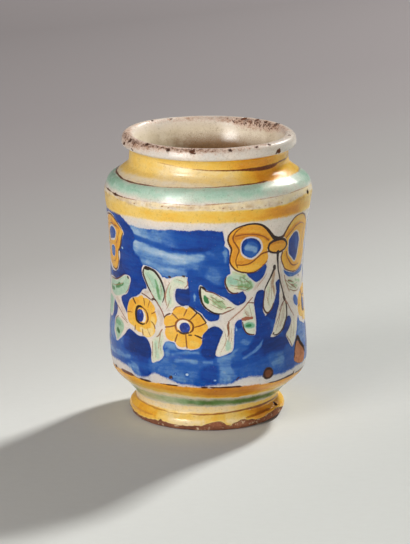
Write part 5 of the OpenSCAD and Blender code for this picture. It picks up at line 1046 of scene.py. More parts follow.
class Mat:
    """Short names for building a node material."""

    def __init__(self, name):
        self.m = bpy.data.materials.new(name)
        self.m.use_nodes = True
        self.t = self.m.node_tree
        self.t.nodes.clear()
        out = self.t.nodes.new("ShaderNodeOutputMaterial")
        self.bsdf = self.t.nodes.new("ShaderNodeBsdfPrincipled")
        self.t.links.new(self.bsdf.outputs[0], out.inputs[0])
        tc = self.t.nodes.new("ShaderNodeTexCoord")
        self.P = self.vec("SCALE", tc.outputs["Object"], scale=1000.0)      # millimetres

    def put(self, sock, v):
        if isinstance(v, bpy.types.NodeSocket):
            self.t.links.new(v, sock)
        else:
            sock.default_value = v

    def vec(self, op, a, b=None, scale=None):
        n = self.t.nodes.new("ShaderNodeVectorMath")
        n.operation = op
        self.put(n.inputs[0], a)
        if b is not None:
            self.put(n.inputs[1], b)
        if scale is not None:
            n.inputs["Scale"].default_value = scale
        return n.outputs[0]

    def math(self, op, a, b=0.0, clamp=False):
        n = self.t.nodes.new("ShaderNodeMath")
        n.operation = op
        n.use_clamp = clamp
        self.put(n.inputs[0], a)
        self.put(n.inputs[1], b)
        return n.outputs[0]

    def add(self, a, b, clamp=False):
        return self.math("ADD", a, b, clamp)

    def mul(self, a, b, clamp=False):
        return self.math("MULTIPLY", a, b, clamp)

    def noise(self, wave, detail=2.0, rough=0.5, stretch=None, shift=None, warp=0.0):
        v = self.P
        if stretch is not None:
            v = self.vec("MULTIPLY", v, stretch)
        if shift is not None:
            v = self.vec("ADD", v, shift)
        n = self.t.nodes.new("ShaderNodeTexNoise")
        n.inputs["Scale"].default_value = 1.0 / wave
        n.inputs["Detail"].default_value = detail
        n.inputs["Roughness"].default_value = rough
        n.inputs["Distortion"].default_value = warp
        self.put(n.inputs["Vector"], v)
        return n.outputs["Fac"]

    def cells(self, wave, feature="F1", shift=None):
        v = self.P if shift is None else self.vec("ADD", self.P, shift)
        n = self.t.nodes.new("ShaderNodeTexVoronoi")
        n.feature = feature
        n.inputs["Scale"].default_value = 1.0 / wave
        self.put(n.inputs["Vector"], v)
        return n.outputs["Distance"]

    def ease(self, v, a, b, c=0.0, d=1.0):
        """v from a..b to c..d, smooth at both ends; a may be above b."""
        if a > b:
            a, b, c, d = b, a, d, c
        n = self.t.nodes.new("ShaderNodeMapRange")
        n.interpolation_type = "SMOOTHSTEP"
        self.put(n.inputs[0], v)
        for k, x in enumerate((a, b, c, d)):
            n.inputs[1 + k].default_value = x
        return n.outputs[0]

    def mix(self, f, a, b, blend="MIX"):
        n = self.t.nodes.new("ShaderNodeMix")
        n.data_type = "RGBA"
        n.blend_type = blend
        self.put(n.inputs[0], f)
        self.put(n.inputs[6], a if isinstance(a, bpy.types.NodeSocket) else lin(a))
        self.put(n.inputs[7], b if isinstance(b, bpy.types.NodeSocket) else lin(b))
        return n.outputs[2]

    def ramp(self, v, stops):
        n = self.t.nodes.new("ShaderNodeValToRGB")
        el = n.color_ramp.elements
        while len(el) < len(stops):
            el.new(0.5)
        for e, (p, c) in zip(el, stops):
            e.position = p
        for e, (p, c) in zip(el, stops):
            e.color = lin(c)
        self.put(n.inputs[0], v)
        return n.outputs[0]

    def attr(self, name):
        n = self.t.nodes.new("ShaderNodeAttribute")
        n.attribute_name = name
        return n.outputs["Fac"]

    def tint(self, v, amount):
        """A noise brought to plus or minus amount round zero."""
        return self.mul(self.add(v, -0.5), 2 * amount)

    def bump(self, height_mm, dist_mm, normal=None):
        n = self.t.nodes.new("ShaderNodeBump")
        n.inputs["Strength"].default_value = 1.0
        n.inputs["Distance"].default_value = dist_mm / 1000.0
        self.put(n.inputs["Height"], height_mm)
        if normal is not None:
            self.put(n.inputs["Normal"], normal)
        return n.outputs[0]

def make_glaze():
    k = Mat("tin_glaze_painted")
    A = k.attr
    edge = k.noise(0.75, 2.0, 0.6)
    mid = k.noise(3.0, 3.0, 0.55)
    big = k.noise(19.0, 2.0)
    huge = k.noise(46.0, 1.0, shift=(31.0, 7.0, 3.0))
    streak = k.noise(1.0, 3.0, 0.55, stretch=(0.10, 0.10, 0.80), warp=0.4)
    streak2 = k.noise(1.0, 3.0, 0.6, stretch=(0.22, 0.22, 0.55), shift=(5.0, 9.0, 2.0), warp=0.6)
    fine = k.noise(0.42, 2.0, 0.6, shift=(3.0, 1.0, 8.0))
    xyz = k.t.nodes.new("ShaderNodeSeparateXYZ")
    k.put(xyz.inputs[0], k.P)
    height = xyz.outputs["Z"]

    # the white ground: pinkish where thin, cool where thick, with pinholes and grey specks
    white = k.mix(k.ease(big, 0.36, 0.66), (229, 219, 207), (214, 210, 203))
    white = k.mix(k.mul(k.ease(mid, 0.45, 0.75), 0.5), white, (216, 198, 178))
    white = k.mix(k.mul(k.ease(fine, 0.55, 0.70), 0.42), white, (164, 148, 132))
    inside = k.ramp(k.add(k.add(big, k.tint(streak, 0.16)), k.tint(fine, 0.05)), [(0.30, (216, 203, 178)), (0.50, (230, 219, 198)), (0.72, (238, 229, 212))])
    # a brown patch below the throat on the far side of the mouth, stronger lower down
    throat_brown_patch = k.mul(k.ease(k.add(height, k.add(k.tint(big, 3.0), k.tint(fine, 3.0))), 145.0, 136.5), k.mul(k.ease(k.add(xyz.outputs["X"], k.tint(mid, 8.0)), -27.0, -8.0), k.ease(xyz.outputs["Y"], 4.0, 22.0)))
    inside = k.mix(k.mul(throat_brown_patch, 0.92), inside, k.mix(k.ease(fine, 0.42, 0.6), (140, 104, 66), (108, 76, 46)))
    # painted shade: the lining turns browner and darker deeper inside the jar
    inside = k.mix(k.ease(height, 112.0, 60.0, 0.0, 0.7), inside, (206, 180, 142))
    white = k.mix(A("a_in"), white, inside)

    # cobalt: a pale halo, a darker rim where the colour pooled
    ab = A("a_blue")
    white = k.mix(k.ease(k.add(ab, k.tint(mid, 0.5)), 1.5, 0.1, 0.0, 0.30), white, (176, 190, 214))
    tb = k.add(k.add(A("a_btone"), k.tint(streak, 0.07)), k.add(k.tint(mid, 0.12), k.tint(fine, 0.09)))
    tb = k.add(tb, k.mul(k.ease(ab, -1.2, -0.25, 0.0, 0.13), k.ease(mid, 0.3, 0.6)), True)
    blue = k.ramp(tb, [(0.0, (194, 209, 225)), (0.16, (148, 178, 208)), (0.32, (96, 140, 192)), (0.5, (46, 96, 172)), (0.68, (14, 76, 162)), (0.84, (5, 57, 145)), (1.0, (4, 40, 108))])
    mb = k.ease(k.add(ab, k.tint(edge, 0.26)), 0.20, -0.20)
    col = k.mix(mb, white, blue)

    # copper green, from mint to olive
    tg = k.add(k.add(A("a_gtone"), k.tint(streak2, 0.07)), k.add(k.tint(mid, 0.09), k.tint(fine, 0.04)), True)
    mint = k.ramp(tg, [(0.0, (226, 221, 208)), (0.12, (207, 217, 203)), (0.25, (172, 207, 191)), (0.42, (114, 177, 145)), (0.6, (54, 134, 80)), (0.8, (30, 92, 54)), (1.0, (20, 60, 38))])
    olive = k.ramp(tg, [(0.0, (226, 221, 204)), (0.12, (214, 212, 178)), (0.25, (188, 195, 146)), (0.42, (138, 156, 90)), (0.6, (86, 110, 52)), (0.8, (56, 74, 34)), (1.0, (36, 48, 24))])
    green = k.mix(k.add(A("a_ghue"), k.tint(mid, 0.16), True), mint, olive)
    green = k.mix(k.mul(k.ease(k.noise(0.6, 2.0, 0.6, shift=(9.0, 2.0, 4.0)), 0.56, 0.70), 0.26), green, (104, 112, 86))
    mg = k.ease(k.add(A("a_grn"), k.tint(edge, 0.34)), 0.5, -0.5)
    col = k.mix(mg, col, green)

    # antimony yellow, from cream to ochre
    ty = k.add(k.add(A("a_ytone"), k.tint(streak2, 0.09)), k.add(k.tint(mid, 0.07), k.tint(huge, 0.04)), True)
    yellow = k.ramp(ty, [(0.0, (232, 222, 202)), (0.10, (234, 216, 172)), (0.25, (235, 205, 124)), (0.40, (233, 193, 88)), (0.54, (233, 176, 60)), (0.66, (223, 153, 46)), (0.80, (198, 124, 40)), (1.0, (150, 88, 34))])
    my = k.ease(k.add(A("a_yel"), k.tint(edge, 0.24)), 0.20, -0.20)
    col = k.mix(my, col, yellow)

    # hearts of the flowers, white touches (one of them a painted highlight on the shoulder), a red bar, a thin brown
    # wash
    col = k.mix(k.ease(k.add(A("a_white_and_glint"), k.tint(edge, 0.2)), 0.2, -0.2), col, (232, 224, 210))
    eye = k.ramp(k.add(0.5, k.add(k.tint(mid, 0.5), k.tint(edge, 0.2))), [(0.2, (18, 34, 104)), (0.6, (34, 62, 150)), (0.85, (92, 122, 194))])
    col = k.mix(k.ease(k.add(A("a_eye"), k.tint(edge, 0.2)), 0.18, -0.18), col, eye)
    col = k.mix(k.mul(k.ease(k.add(A("a_red"), k.tint(edge, 0.4)), 0.2, -0.2), 0.9), col, (152, 68, 34))
    col = k.mix(k.mul(k.add(A("a_brn"), k.mul(A("a_brn"), k.tint(mid, 0.5))), 0.85, True), col, (152, 92, 42))

    # manganese lines, thin and brown where the brush ran dry
    tl = k.add(A("a_ltone"), k.add(k.tint(mid, 0.10), k.tint(fine, 0.07)))
    line = k.ramp(tl, [(0.25, (184, 118, 50)), (0.45, (152, 84, 22)), (0.62, (122, 56, 8)), (0.80, (82, 36, 4)), (0.95, (36, 22, 17))])
    ml = k.ease(k.add(A("a_line"), k.tint(edge, 0.16)), 0.15, -0.13)
    ml = k.mul(ml, k.ease(tl, 0.2, 0.75, 0.60, 1.0))
    ml = k.mul(ml, k.ease(k.add(fine, k.mul(tl, -0.3)), 0.28, 0.50, 1.0, 0.74))
    col = k.mix(ml, col, line)

    # wear of the lip, chips to the clay, dark pinholes
    wn = k.add(k.mul(k.noise(1.5, 4.0, 0.65, shift=(11.0, 4.0, 9.0)), 0.7), k.mul(k.noise(5.0, 2.0, shift=(2.0, 8.0, 5.0)), 0.3))
    aw = A("a_wear")
    wf = k.noise(0.9, 4.0, 0.7, shift=(21.0, 14.0, 3.0))
    w1 = k.ease(k.add(aw, k.add(k.tint(wn, 0.9), k.tint(wf, 0.7))), 0.25, 1.00, 0.0, 0.85)
    col = k.mix(w1, col, k.mix(k.ease(k.add(mid, k.tint(wf, 0.25)), 0.38, 0.64), (214, 186, 168), (170, 124, 94)))
    w2 = k.ease(k.add(k.mul(aw, 0.34), k.add(k.mul(wn, 0.55), k.mul(wf, 0.55))), 0.865, 0.925, 0.0, 0.92)
    col = k.mix(w2, col, k.mix(k.ease(edge, 0.4, 0.6), (106, 60, 36), (62, 36, 24)))
    ac = k.add(A("a_chip"), k.tint(edge, 0.35))
    clay = k.ramp(k.add(A("a_ctone"), k.add(k.tint(mid, 0.10), k.tint(fine, 0.12))), [(0.2, (196, 138, 104)), (0.42, (176, 114, 78)), (0.62, (134, 80, 52)), (0.85, (74, 46, 32)), (1.0, (44, 30, 24))])
    mc = k.ease(ac, 0.15, -0.15)
    rim = k.mul(k.ease(k.math("ABSOLUTE", ac), 0.42, 0.12), 0.75)
    col = k.mix(rim, col, (72, 50, 38))
    col = k.mix(mc, col, clay)
    pin = k.mul(k.ease(k.cells(2.9), 0.115, 0.075), k.ease(k.noise(13.0, 1.0, shift=(4.0, 4.0, 1.0)), 0.52, 0.60))
    pin = k.mul(pin, k.ease(A("a_in"), 0.2, 0.6, 1.0, 0.5))
    col = k.mix(k.mul(pin, k.ease(mid, 0.4, 0.6, 0.15, 0.6)), col, (92, 64, 48))
    # the whole skin is a little mottled
    grain = k.ramp(k.add(k.add(0.5, k.tint(fine, 0.5)), k.add(k.tint(mid, 0.35), k.tint(k.noise(1.2, 3.0, 0.65, shift=(17.0, 3.0, 6.0)), 0.5))), [(0.12, (222, 216, 208)), (0.40, (251, 250, 248)), (0.62, (255, 255, 255))])
    col = k.mix(1.0, col, grain, "MULTIPLY")
    k.put(k.bsdf.inputs["Base Color"], col)

    rough = k.add(0.23, k.tint(big, 0.05))
    rough = k.add(rough, k.mul(A("a_in"), 0.04))
    rough = k.add(rough, k.mul(w1, 0.30))
    rough = k.add(rough, k.mul(mc, 0.6))
    rough = k.add(rough, k.mul(ml, 0.08), True)
    k.put(k.bsdf.inputs["Roughness"], rough)
    k.bsdf.inputs["IOR"].default_value = 1.5
    k.bsdf.inputs["Specular IOR Level"].default_value = 0.30
    h = k.add(k.mul(streak, 0.05), k.mul(mid, 0.05))
    h = k.add(h, k.mul(fine, 0.010))
    h = k.add(h, k.mul(mb, 0.018))
    h = k.add(h, k.mul(k.math("MAXIMUM", my, ml), 0.02))
    h = k.add(h, k.mul(mc, k.add(-0.22, k.mul(fine, 0.25))))
    h = k.add(h, k.mul(pin, -0.10))
    h = k.add(h, k.mul(w1, k.add(-0.06, k.mul(edge, 0.10))))
    h = k.add(h, k.mul(w2, -0.08))
    k.put(k.bsdf.inputs["Normal"], k.bump(h, 1.0))
    return k.m


def make_clay():
    k = Mat("bare_earthenware")
    big, mid = k.noise(14.0, 3.0, 0.6), k.noise(3.0, 4.0, 0.65)
    grit, fine = k.noise(0.7, 3.0, 0.7), k.noise(0.3, 2.0, 0.6)
    turn = k.noise(1.0, 2.0, 0.5, stretch=(0.06, 0.06, 0.9))
    col = k.ramp(k.add(k.add(k.mul(big, 0.55), k.mul(mid, 0.35)), k.tint(turn, 0.08)), [(0.28, (84, 46, 30)), (0.42, (120, 70, 45)), (0.55, (146, 90, 60)), (0.70, (184, 128, 94))])
    # under the jar, inside the ring it stands on, the clay is cleaner and shows the turning
    xyz = k.t.nodes.new("ShaderNodeSeparateXYZ")
    k.put(xyz.inputs[0], k.P)
    r = k.math("SQRT", k.add(k.mul(xyz.outputs["X"], xyz.outputs["X"]), k.mul(xyz.outputs["Y"], xyz.outputs["Y"])))
    recess = k.ease(k.add(r, k.tint(mid, 5.0)), 37.0, 30.0)
    rings = k.math("SINE", k.add(k.mul(r, 2.4), k.mul(big, 5.0)))
    pale = k.ramp(k.add(k.add(k.mul(big, 0.5), k.mul(mid, 0.4)), k.mul(rings, 0.05)), [(0.28, (138, 86, 58)), (0.42, (168, 112, 80)), (0.55, (188, 134, 100)), (0.70, (206, 160, 126))])
    col = k.mix(k.mul(recess, 0.85), col, pale)
    col = k.mix(k.mul(k.ease(grit, 0.60, 0.74), 0.6), col, (212, 176, 142))
    col = k.mix(k.mul(k.ease(grit, 0.36, 0.26), 0.6), col, (74, 44, 32))
    flecks = k.mul(k.ease(k.noise(2.4, 3.0, 0.65, shift=(7.0, 3.0, 1.0)), 0.58, 0.65), 0.75)
    flecks = k.mul(flecks, k.add(1.0, k.mul(recess, -0.85)))
    col = k.mix(flecks, col, (214, 192, 158))
    k.put(k.bsdf.inputs["Base Color"], col)
    k.put(k.bsdf.inputs["Roughness"], k.add(0.86, k.tint(mid, 0.1)))
    k.bsdf.inputs["IOR"].default_value = 1.45
    h = k.add(k.add(k.mul(mid, 0.22), k.mul(grit, 0.12)), k.add(k.mul(fine, 0.04), k.mul(flecks, 0.12)))
    h = k.add(h, k.mul(k.mul(rings, recess), 0.05))
    k.put(k.bsdf.inputs["Normal"], k.bump(h, 1.0))
    return k.m


GLAZE_MAT, CLAY_MAT = make_glaze(), make_clay()

# ------------------------------------------------------------------ the pieces
def ring(name, lo, hi, R, C, cells, nodes, edge=None, inner=4):
    """A ring of glaze between two lengths along the skin; lo may change round the jar."""
    th = (np.arange(C) - C / 2) * 360.0 / C
    lo = np.broadcast_to(np.asarray(lo, float), C)
    f = np.linspace(0, 1, R)[:, None]
    S = lo[None, :] * (1 - f) + hi * f
    TH = np.broadcast_to(th[None, :], S.shape)
    lift = None
    if edge:
        d = S - lo[None, :]
        lift = -0.46 * np.exp(-(d / 0.32) ** 1.3) + 0.10 * np.exp(-((d - 1.0) / 0.6) ** 2)
    under = []
    for g in np.linspace(1, 0, inner):
        under.append((lo * (1 - g) + hi * g, -0.49))
    ob, P, N = build(name, S, TH, under, cells, [GLAZE_MAT], lift)
    r, z, nr, nz = prof(S.ravel())
    fields = paint(TH, z.reshape(S.shape), S, S > S_CREST + 3)
    fields["a_yel"] = (np.where(S.ravel() > S_CREST, Sheet.FAR, np.ravel(fields["a_yel"][0])), fields["a_yel"][1])      # none inside the mouth
    deep = sstep(1.5, 9.0, S - S_CREST)
    fields["a_in"] = (deep, 1.0 if S.mean() > S_CREST else 0.0)
    put_attrs(ob, R, C, fields)
    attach(ob, "root")
    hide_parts(*nodes)
    return ob


_th = (np.arange(900) - 450) * 0.4
foot_edge = around(_th, FOOT_EDGE) + 0.30 * ring_noise(_th, 0 * _th, 1.9, 3, 1) + 0.16 * ring_noise(_th, 0 * _th, 0.7, 4, 1)
ring("foot_glaze", s_out(foot_edge), float(s_out(8.9)), 30, 900, (1, 6), ["foot_yellow_glaze"], edge=True, inner=12)
ring("base_glaze", float(s_out(8.9)), float(s_out(24.0)), 60, 900, (1, 4), ["base_orange_band", "base_green_band", "base_cream_bands"], inner=20)
ring("wall_1", float(s_out(24.0)), float(s_out(46.0)), 80, 1140, (1, 4), ["cobalt_ground"])
ring("wall_2", float(s_out(46.0)), float(s_out(68.0)), 80, 1140, (1, 4), ["flower_petals", "flower_centres"])
ring("wall_3", float(s_out(68.0)), float(s_out(90.0)), 80, 1140, (1, 4), ["leaf_sprigs", "white_ground"])
ring("wall_4", float(s_out(90.0)), float(s_out(111.0)), 80, 1140, (1, 4), ["ribbon_bows", "bow_knots"])
ring("shoulder_glaze", float(s_out(111.0)), float(s_out(130.5)), 78, 1140, (1, 4), ["shoulder_green_band", "shoulder_cream_band", "shoulder_yellow_band"], inner=8)
ring("neck_glaze", float(s_out(130.5)), float(s_out(143.3)), 60, 1000, (1, 4), ["neck_yellow_glaze", "neck_cream_glaze", "manganese_lines"], inner=30)
ring("lip_glaze", float(s_out(143.3)), float(s_in(143.0)), 70, 1000, (1, 4), ["rim_glaze"], inner=26)


def finish_mesh(name, V, Q, T3, mat):
    me = bpy.data.meshes.new(name)
    me.vertices.add(len(V))
    me.vertices.foreach_set("co", (V / 1000.0).astype(np.float32).ravel())
    loops = np.concatenate([Q.ravel(), T3.ravel()]).astype(np.int32)
    me.loops.add(len(loops))
    me.loops.foreach_set("vertex_index", loops)
    tot = np.concatenate([np.full(len(Q), 4), np.full(len(T3), 3)]).astype(np.int32)
    me.polygons.add(len(tot))
    me.polygons.foreach_set("loop_start", np.concatenate([[0], np.cumsum(tot)[:-1]]).astype(np.int32))
    me.polygons.foreach_set("loop_total", tot)
    me.polygons.foreach_set("use_smooth", np.ones(len(tot), bool))
    me.update(calc_edges=True)
    ob = bpy.data.objects.new(name, me)
    bpy.context.scene.collection.objects.link(ob)
    me.materials.append(mat)
    return ob


def make_lining():
    C, R = 400, 170
    th = (np.arange(C) - C / 2) * 360.0 / C
    s0, s1 = float(s_in(143.0)), S_END - 0.8
    s = np.linspace(s0, s1, R)
    S, TH = np.meshgrid(s, th, indexing="ij")
    P = shape_pts(S, TH)
    su = np.linspace(s1, s0, 40)
    Su, Tu = np.meshgrid(su, th, indexing="ij")
    U = shape_pts(Su, Tu, -0.49)
    mx = float(lean(floor_z))
    V = np.vstack([P.reshape(-1, 3), U.reshape(-1, 3), [[mx, 0, floor_z]], [[mx, 0, floor_z - 0.49]]])
    nP, nU = R * C, len(su) * C
    i = np.arange(C)
    i2 = (i + 1) % C
    Q = []
    for a in range(R - 1):
        Q.append(np.stack([a * C + i, a * C + i2, (a + 1) * C + i2, (a + 1) * C + i], -1))
    for a in range(len(su) - 1):
        o = nP + a * C
        Q.append(np.stack([o + i, o + i2, o + C + i2, o + C + i], -1))
    o = nP + (len(su) - 1) * C
    Q.append(np.stack([o + i, o + i2, i2, i], -1))
    Q = np.vstack(Q)
    T1 = np.stack([(R - 1) * C + i, (R - 1) * C + i2, np.full(C, nP + nU)], -1)
    T2 = np.stack([nP + i2, nP + i, np.full(C, nP + nU + 1)], -1)
    T3 = np.vstack([T1, T2])
    ob = finish_mesh("lining_glaze", V, Q, T3, GLAZE_MAT)
    # shading normals from the drawn surface, so that it runs on from the lip with no seam
    n_out = (R - 1) * C
    N = nrm(np.cross(shape_pts(S, TH + 0.3) - shape_pts(S, TH - 0.3), shape_pts(S + 0.3, TH) - shape_pts(S - 0.3, TH))).reshape(-1, 3)
    fq, ft = V[Q], V[T3]
    LN = np.repeat(nrm(np.cross(fq[:, 2] - fq[:, 0], fq[:, 3] - fq[:, 1]))[:, None, :], 4, 1)
    LN[:n_out] = N[Q[:n_out]]
    LT = np.repeat(nrm(np.cross(ft[:, 1] - ft[:, 0], ft[:, 2] - ft[:, 0]))[:, None, :], 3, 1)
    ob.data.normals_split_custom_set(np.vstack([LN.reshape(-1, 3), LT.reshape(-1, 3)]).astype(np.float32))
    return ob, R, C, S


lining, LR, LC, LS = make_lining()
_F = Sheet.FAR
_one = np.ones((LR, LC))
_lw = 0.30 * np.exp(-((LS - S_CREST) / 8.0) ** 2) + 0.12 * sstep(60, 30, prof(LS.ravel())[1]).reshape(LS.shape)
_rest = {"a_blue": _F, "a_btone": 0.5, "a_yel": _F, "a_ytone": 0.3, "a_grn": _F, "a_gtone": 0.2, "a_ghue": 0.2, "a_line": _F, "a_ltone": 0.6, "a_eye": _F, "a_white_and_glint": _F, "a_red": _F, "a_chip": _F, "a_ctone": 0.5, "a_brn": 0.0}
_lf = {key: (v * _one, v) for key, v in _rest.items()}
_lf["a_wear"] = (_lw, 0.0)
_lf["a_in"] = (sstep(1.5, 9.0, LS - S_CREST), 1.0)
put_attrs(lining, LR, LC, _lf)
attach(lining, "root")
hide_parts("inner_glaze")


def make_clay_vessel():
    C = 416
    th = (np.arange(C) - C / 2) * 360.0 / C
    # underside, from the middle out: a shallow turned recess and the ring it stands on
    und = np.vstack([bez([0.8, recess_d], [12, recess_d], [20, recess_d - 0.1], [contact_r - 4.5, recess_d - 0.4], 26),
                     bez([contact_r - 4.5, recess_d - 0.4], [contact_r - 2.5, recess_d - 0.6], [contact_r - 1.6, recess_d - 1.0], [contact_r - 1.2, recess_d - 1.4], 8),
                     bez([contact_r - 1.2, recess_d - 1.4], [contact_r - 0.8, 0.6], [contact_r - 0.4, 0.1], [contact_r, 0.0], 8),
                     bez([contact_r, 0.0], [contact_r + 2, 0], [foot_r - 3, 0], [foot_r - 2.2, 0.0], 8),
                     bez([foot_r - 2.2, 0.0], [foot_r - 1.5, 0.0], [foot_r - 1.0, 0.15], [foot_r - 0.75, 0.5], 5)])
    a = np.radians(th)[None, :]
    r, z = und[:, :1], und[:, 1:]
    rr = r + 0.10 * np.sin(r * 2.1 + th[None, :] / 57.3) * (r > 3) * (r < contact_r)
    zz = z + 0.10 * fbm(rr * np.sin(a) / 5, rr * np.cos(a) / 5, z + 0 * a, 15, 3) * (z > 0.3) + 0.06 * np.sin(r * 3.0 + th[None, :] / 57.3) * (r > 2) * (r < contact_r - 3)
    rr = rr + 0.30 * fbm(np.sin(a) * 9 + 0 * r, np.cos(a) * 9 + 0 * r, z * 0.6 + 0 * a, 18, 3) * (r > foot_r - 2.6)
    rr = rr - foot_bevel(np.maximum(zz, 0), np.broadcast_to(th[None, :], zz.shape)) * sstep(contact_r, foot_r - 2.2, r)
    under = np.stack([rr * np.sin(a) + float(lean(0.0)), -rr * np.cos(a), np.maximum(zz, 0) + 0 * a], -1)
    s = np.concatenate([np.linspace(0.8, 11, 36), np.linspace(11, S_CREST - 12, 60)[1:], np.linspace(S_CREST - 12, S_CREST + 10, 30)[1:], np.linspace(S_CREST + 10, S_END - 0.8, 60)[1:]])
    S, TH = np.meshgrid(s, th, indexing="ij")
    rough = -0.5 + 0.28 * fbm(np.sin(np.radians(TH)) * 13, np.cos(np.radians(TH)) * 13, S / 2.4, 19, 3) * sstep(8, 5, S)
    P = shape_pts(S, TH, np.where(S < 8, rough, -0.5))
    pts = np.concatenate([under, P], 0)
    T = len(pts)
    mx = float(lean(0.0))
    V = np.vstack([pts.reshape(-1, 3), [[mx, 0, recess_d]], [[mx, 0, floor_z - 0.5]]])
    i = np.arange(C)
    i2 = (i + 1) % C
    Q = np.vstack([np.stack([k * C + i, k * C + i2, (k + 1) * C + i2, (k + 1) * C + i], -1) for k in range(T - 1)])
    T3 = np.vstack([np.stack([i2, i, np.full(C, T * C)], -1), np.stack([(T - 1) * C + i, (T - 1) * C + i2, np.full(C, T * C + 1)], -1)])
    return finish_mesh("clay_vessel", V, Q, T3, CLAY_MAT)


clay = make_clay_vessel()
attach(clay, "root")
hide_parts("clay_body")

# ------------------------------------------------------------------ stage, light, camera
def from_angles(az, el):
    """az: degrees from the front towards the right."""
    a, e = math.radians(az), math.radians(el)
    return (math.sin(a) * math.cos(e), -math.cos(a) * math.cos(e), math.sin(e))


LEFT = (-39, 23, 1.3, 0.6, 1.2, 11.3)          # low lights: degrees, degrees up, distance, width, height (m), watts
FRONT = (-5, 12, 1.5, 1.5, 0.55, 5.6)


def from_panel(X, Y, az, el, dist, w, h, power):
    """Light that reaches the floor at X, Y (m) from one of the low lights."""
    d = np.array(from_angles(az, el))
    side = np.array((math.cos(math.radians(az)), math.sin(math.radians(az)), 0.0))
    up = np.cross(d, side)
    nu, nv = 12, 40
    E = np.zeros_like(X)
    for a in (np.arange(nu) + 0.5) / nu - 0.5:
        for b in (np.arange(nv) + 0.5) / nv - 0.5:
            p = np.array((0, 0, 0.075)) + d * dist + side * a * w + up * b * h
            rx, ry, rz = X - p[0], Y - p[1], -p[2]
            E += np.maximum(-(rx * d[0] + ry * d[1] + rz * d[2]), 0) * p[2] / (rx * rx + ry * ry + rz * rz) ** 2
    return E * power / PI / (nu * nv)


def make_floor():
    """A sheet of paper that is flat round the jar and sweeps up far away."""
    ra, rb, h = 3.2, 1.4, 1.7
    bow = np.linspace(0, PI / 2, 26)[1:]
    prof_r = np.concatenate([np.linspace(0.02, ra, 200), ra + rb * np.sin(bow), np.full(4, ra + rb)])
    prof_z = np.concatenate([np.zeros(200), rb - rb * np.cos(bow), np.linspace(rb, h, 5)[1:]])
    C = 240
    a = np.arange(C) * 2 * PI / C
    V = np.vstack([np.stack([r * np.sin(a), -r * np.cos(a), np.full(C, z)], -1) for r, z in zip(prof_r, prof_z)] + [np.zeros((1, 3))])
    i = np.arange(C)
    i2 = (i + 1) % C
    T = len(prof_r)
    Q = np.vstack([np.stack([k * C + i2, k * C + i, (k + 1) * C + i, (k + 1) * C + i2], -1)[:, ::-1] for k in range(T - 1)])
    T3 = np.stack([i2, i, np.full(C, T * C)], -1)
    k = Mat("studio_paper")
    xyz = k.t.nodes.new("ShaderNodeSeparateXYZ")
    k.put(xyz.inputs[0], k.P)
    # painted shade: the paper darkens away from the front, sooner on the left, in place of light that falls off with
    # distance
    g = k.add(xyz.outputs["Y"], k.mul(xyz.outputs["X"], -1.2))
    shade = k.ramp(k.add(k.mul(g, 1 / 2800.0), 0.107, True), [(0.036, (201, 205, 202)), (0.089, (208, 211, 208)), (0.143, (208, 211, 208)), (0.179, (198, 200, 197)), (0.229, (186, 186, 184)), (0.286, (171, 170, 168)),
                                                               (0.357, (163, 161, 160)), (0.429, (156, 152, 152)), (0.571, (146, 141, 142)), (0.786, (136, 131, 132)), (0.964, (127, 122, 123))])
    # and it is greyer in front, close to the low lights, so that it is as bright there as elsewhere
    shade = k.mix(k.attr("a_dim"), (0, 0, 0), shade)
    k.put(k.bsdf.inputs["Base Color"], k.mix(k.mul(k.noise(3.2, 5.0, 0.7, stretch=(0.5, 1.0, 1.0)), 0.16), shade, (162, 159, 157)))
    k.bsdf.inputs["Roughness"].default_value = 0.85
    k.bsdf.inputs["Specular IOR Level"].default_value = 0.0
    k.put(k.bsdf.inputs["Normal"], k.bump(k.mul(k.noise(0.6, 2.0), 0.02), 1.0))
    ob = finish_mesh("studio_floor", V * 1000.0, Q, T3, k.m)
    low = from_panel(V[:, 0], V[:, 1], *LEFT) + from_panel(V[:, 0], V[:, 1], *FRONT)
    even = np.minimum(1.15, 0.88 * (2.6 + low[-1]) / (2.6 + low))
    dim = 1 + (even - 1) * sstep(0.22, 0.75, -V[:, 1])
    ob.data.attributes.new("a_dim", "FLOAT", "POINT").data.foreach_set("value", dim.astype(np.float32))
    return ob


floor = make_floor()


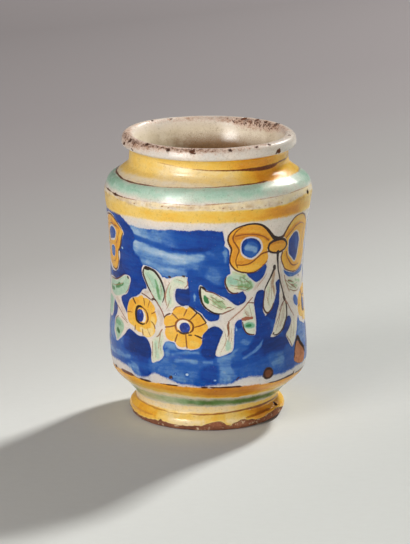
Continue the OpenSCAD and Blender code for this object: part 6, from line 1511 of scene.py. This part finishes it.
def area(name, direction, dist, size, power, colour=(1, 1, 1), size_y=None, aim=(0, 0, 0.075)):
    d = np.array(direction, float)
    d /= np.linalg.norm(d)
    L = bpy.data.lights.new(name, "AREA")
    L.shape = "RECTANGLE"
    L.size, L.size_y = size, size_y or size
    L.energy = power
    L.color = colour
    ob = bpy.data.objects.new(name, L)
    bpy.context.scene.collection.objects.link(ob)
    from mathutils import Vector
    ob.location = Vector(aim) + Vector(d) * dist
    ob.rotation_euler = Vector(-d).to_track_quat("-Z", "Y").to_euler()
    ob.visible_camera = False
    return ob


area("key", (0.57 * math.cos(math.radians(38)), 0.82 * math.cos(math.radians(38)), math.sin(math.radians(38))), 8.0, 0.84, 765.0, (1.0, 0.985, 0.96)).visible_glossy = False
# the key as the glaze mirrors it: through a wide screen, so that it is soft
area("key_screen", (0.57 * math.cos(math.radians(38)), 0.82 * math.cos(math.radians(38)), math.sin(math.radians(38))), 8.0, 2.1, 270.0, (1.0, 0.985, 0.96)).visible_diffuse = False
area("fill_left", from_angles(*LEFT[:2]), LEFT[2], LEFT[3], LEFT[5], (1.0, 0.93, 0.89), LEFT[4])
front = area("fill_front", from_angles(*FRONT[:2]), FRONT[2], FRONT[3], FRONT[5], (1.0, 0.96, 0.93), FRONT[4])
front.visible_glossy = False
# two bright panes, for the sheen on the neck and shoulder only
for (az, w) in ((-43.5, 0.26), (-34.0, 0.26)):
    pane = area("pane", from_angles(az, 15.5), 2.0, w, 62.0 * w, (1.0, 0.98, 0.95), 0.5)
    pane.visible_diffuse = False

# light that comes back from the bright side of the mouth
back = area("mouth_bounce", (0.056, -0.021, 0.044), 0.074, 0.02, 0.0033, (1.0, 0.97, 0.92), aim=(-0.036, 0.016, 0.141))
back.data.spread = math.radians(75)
back.visible_glossy = False

world = bpy.data.worlds.new("studio")
bpy.context.scene.world = world
world.use_nodes = True
bg = world.node_tree.nodes["Background"]
bg.inputs["Color"].default_value = (1.0, 0.89, 0.86, 1.0)
bg.inputs["Strength"].default_value = 0.066

scene = bpy.context.scene
scene.view_settings.view_transform = "Standard"
scene.view_settings.look = "None"

cam = bpy.data.cameras.new("camera")
cam.sensor_fit = "VERTICAL"
cam.sensor_height = 36.0
cam.lens = 122.43
cam.clip_start, cam.clip_end = 0.05, 20.0
cam_ob = bpy.data.objects.new("camera", cam)
scene.collection.objects.link(cam_ob)
cam_ob.location = (-0.0014, -0.9481, 0.2936)
cam_ob.rotation_euler = (math.radians(77.0), 0, 0)
scene.camera = cam_ob
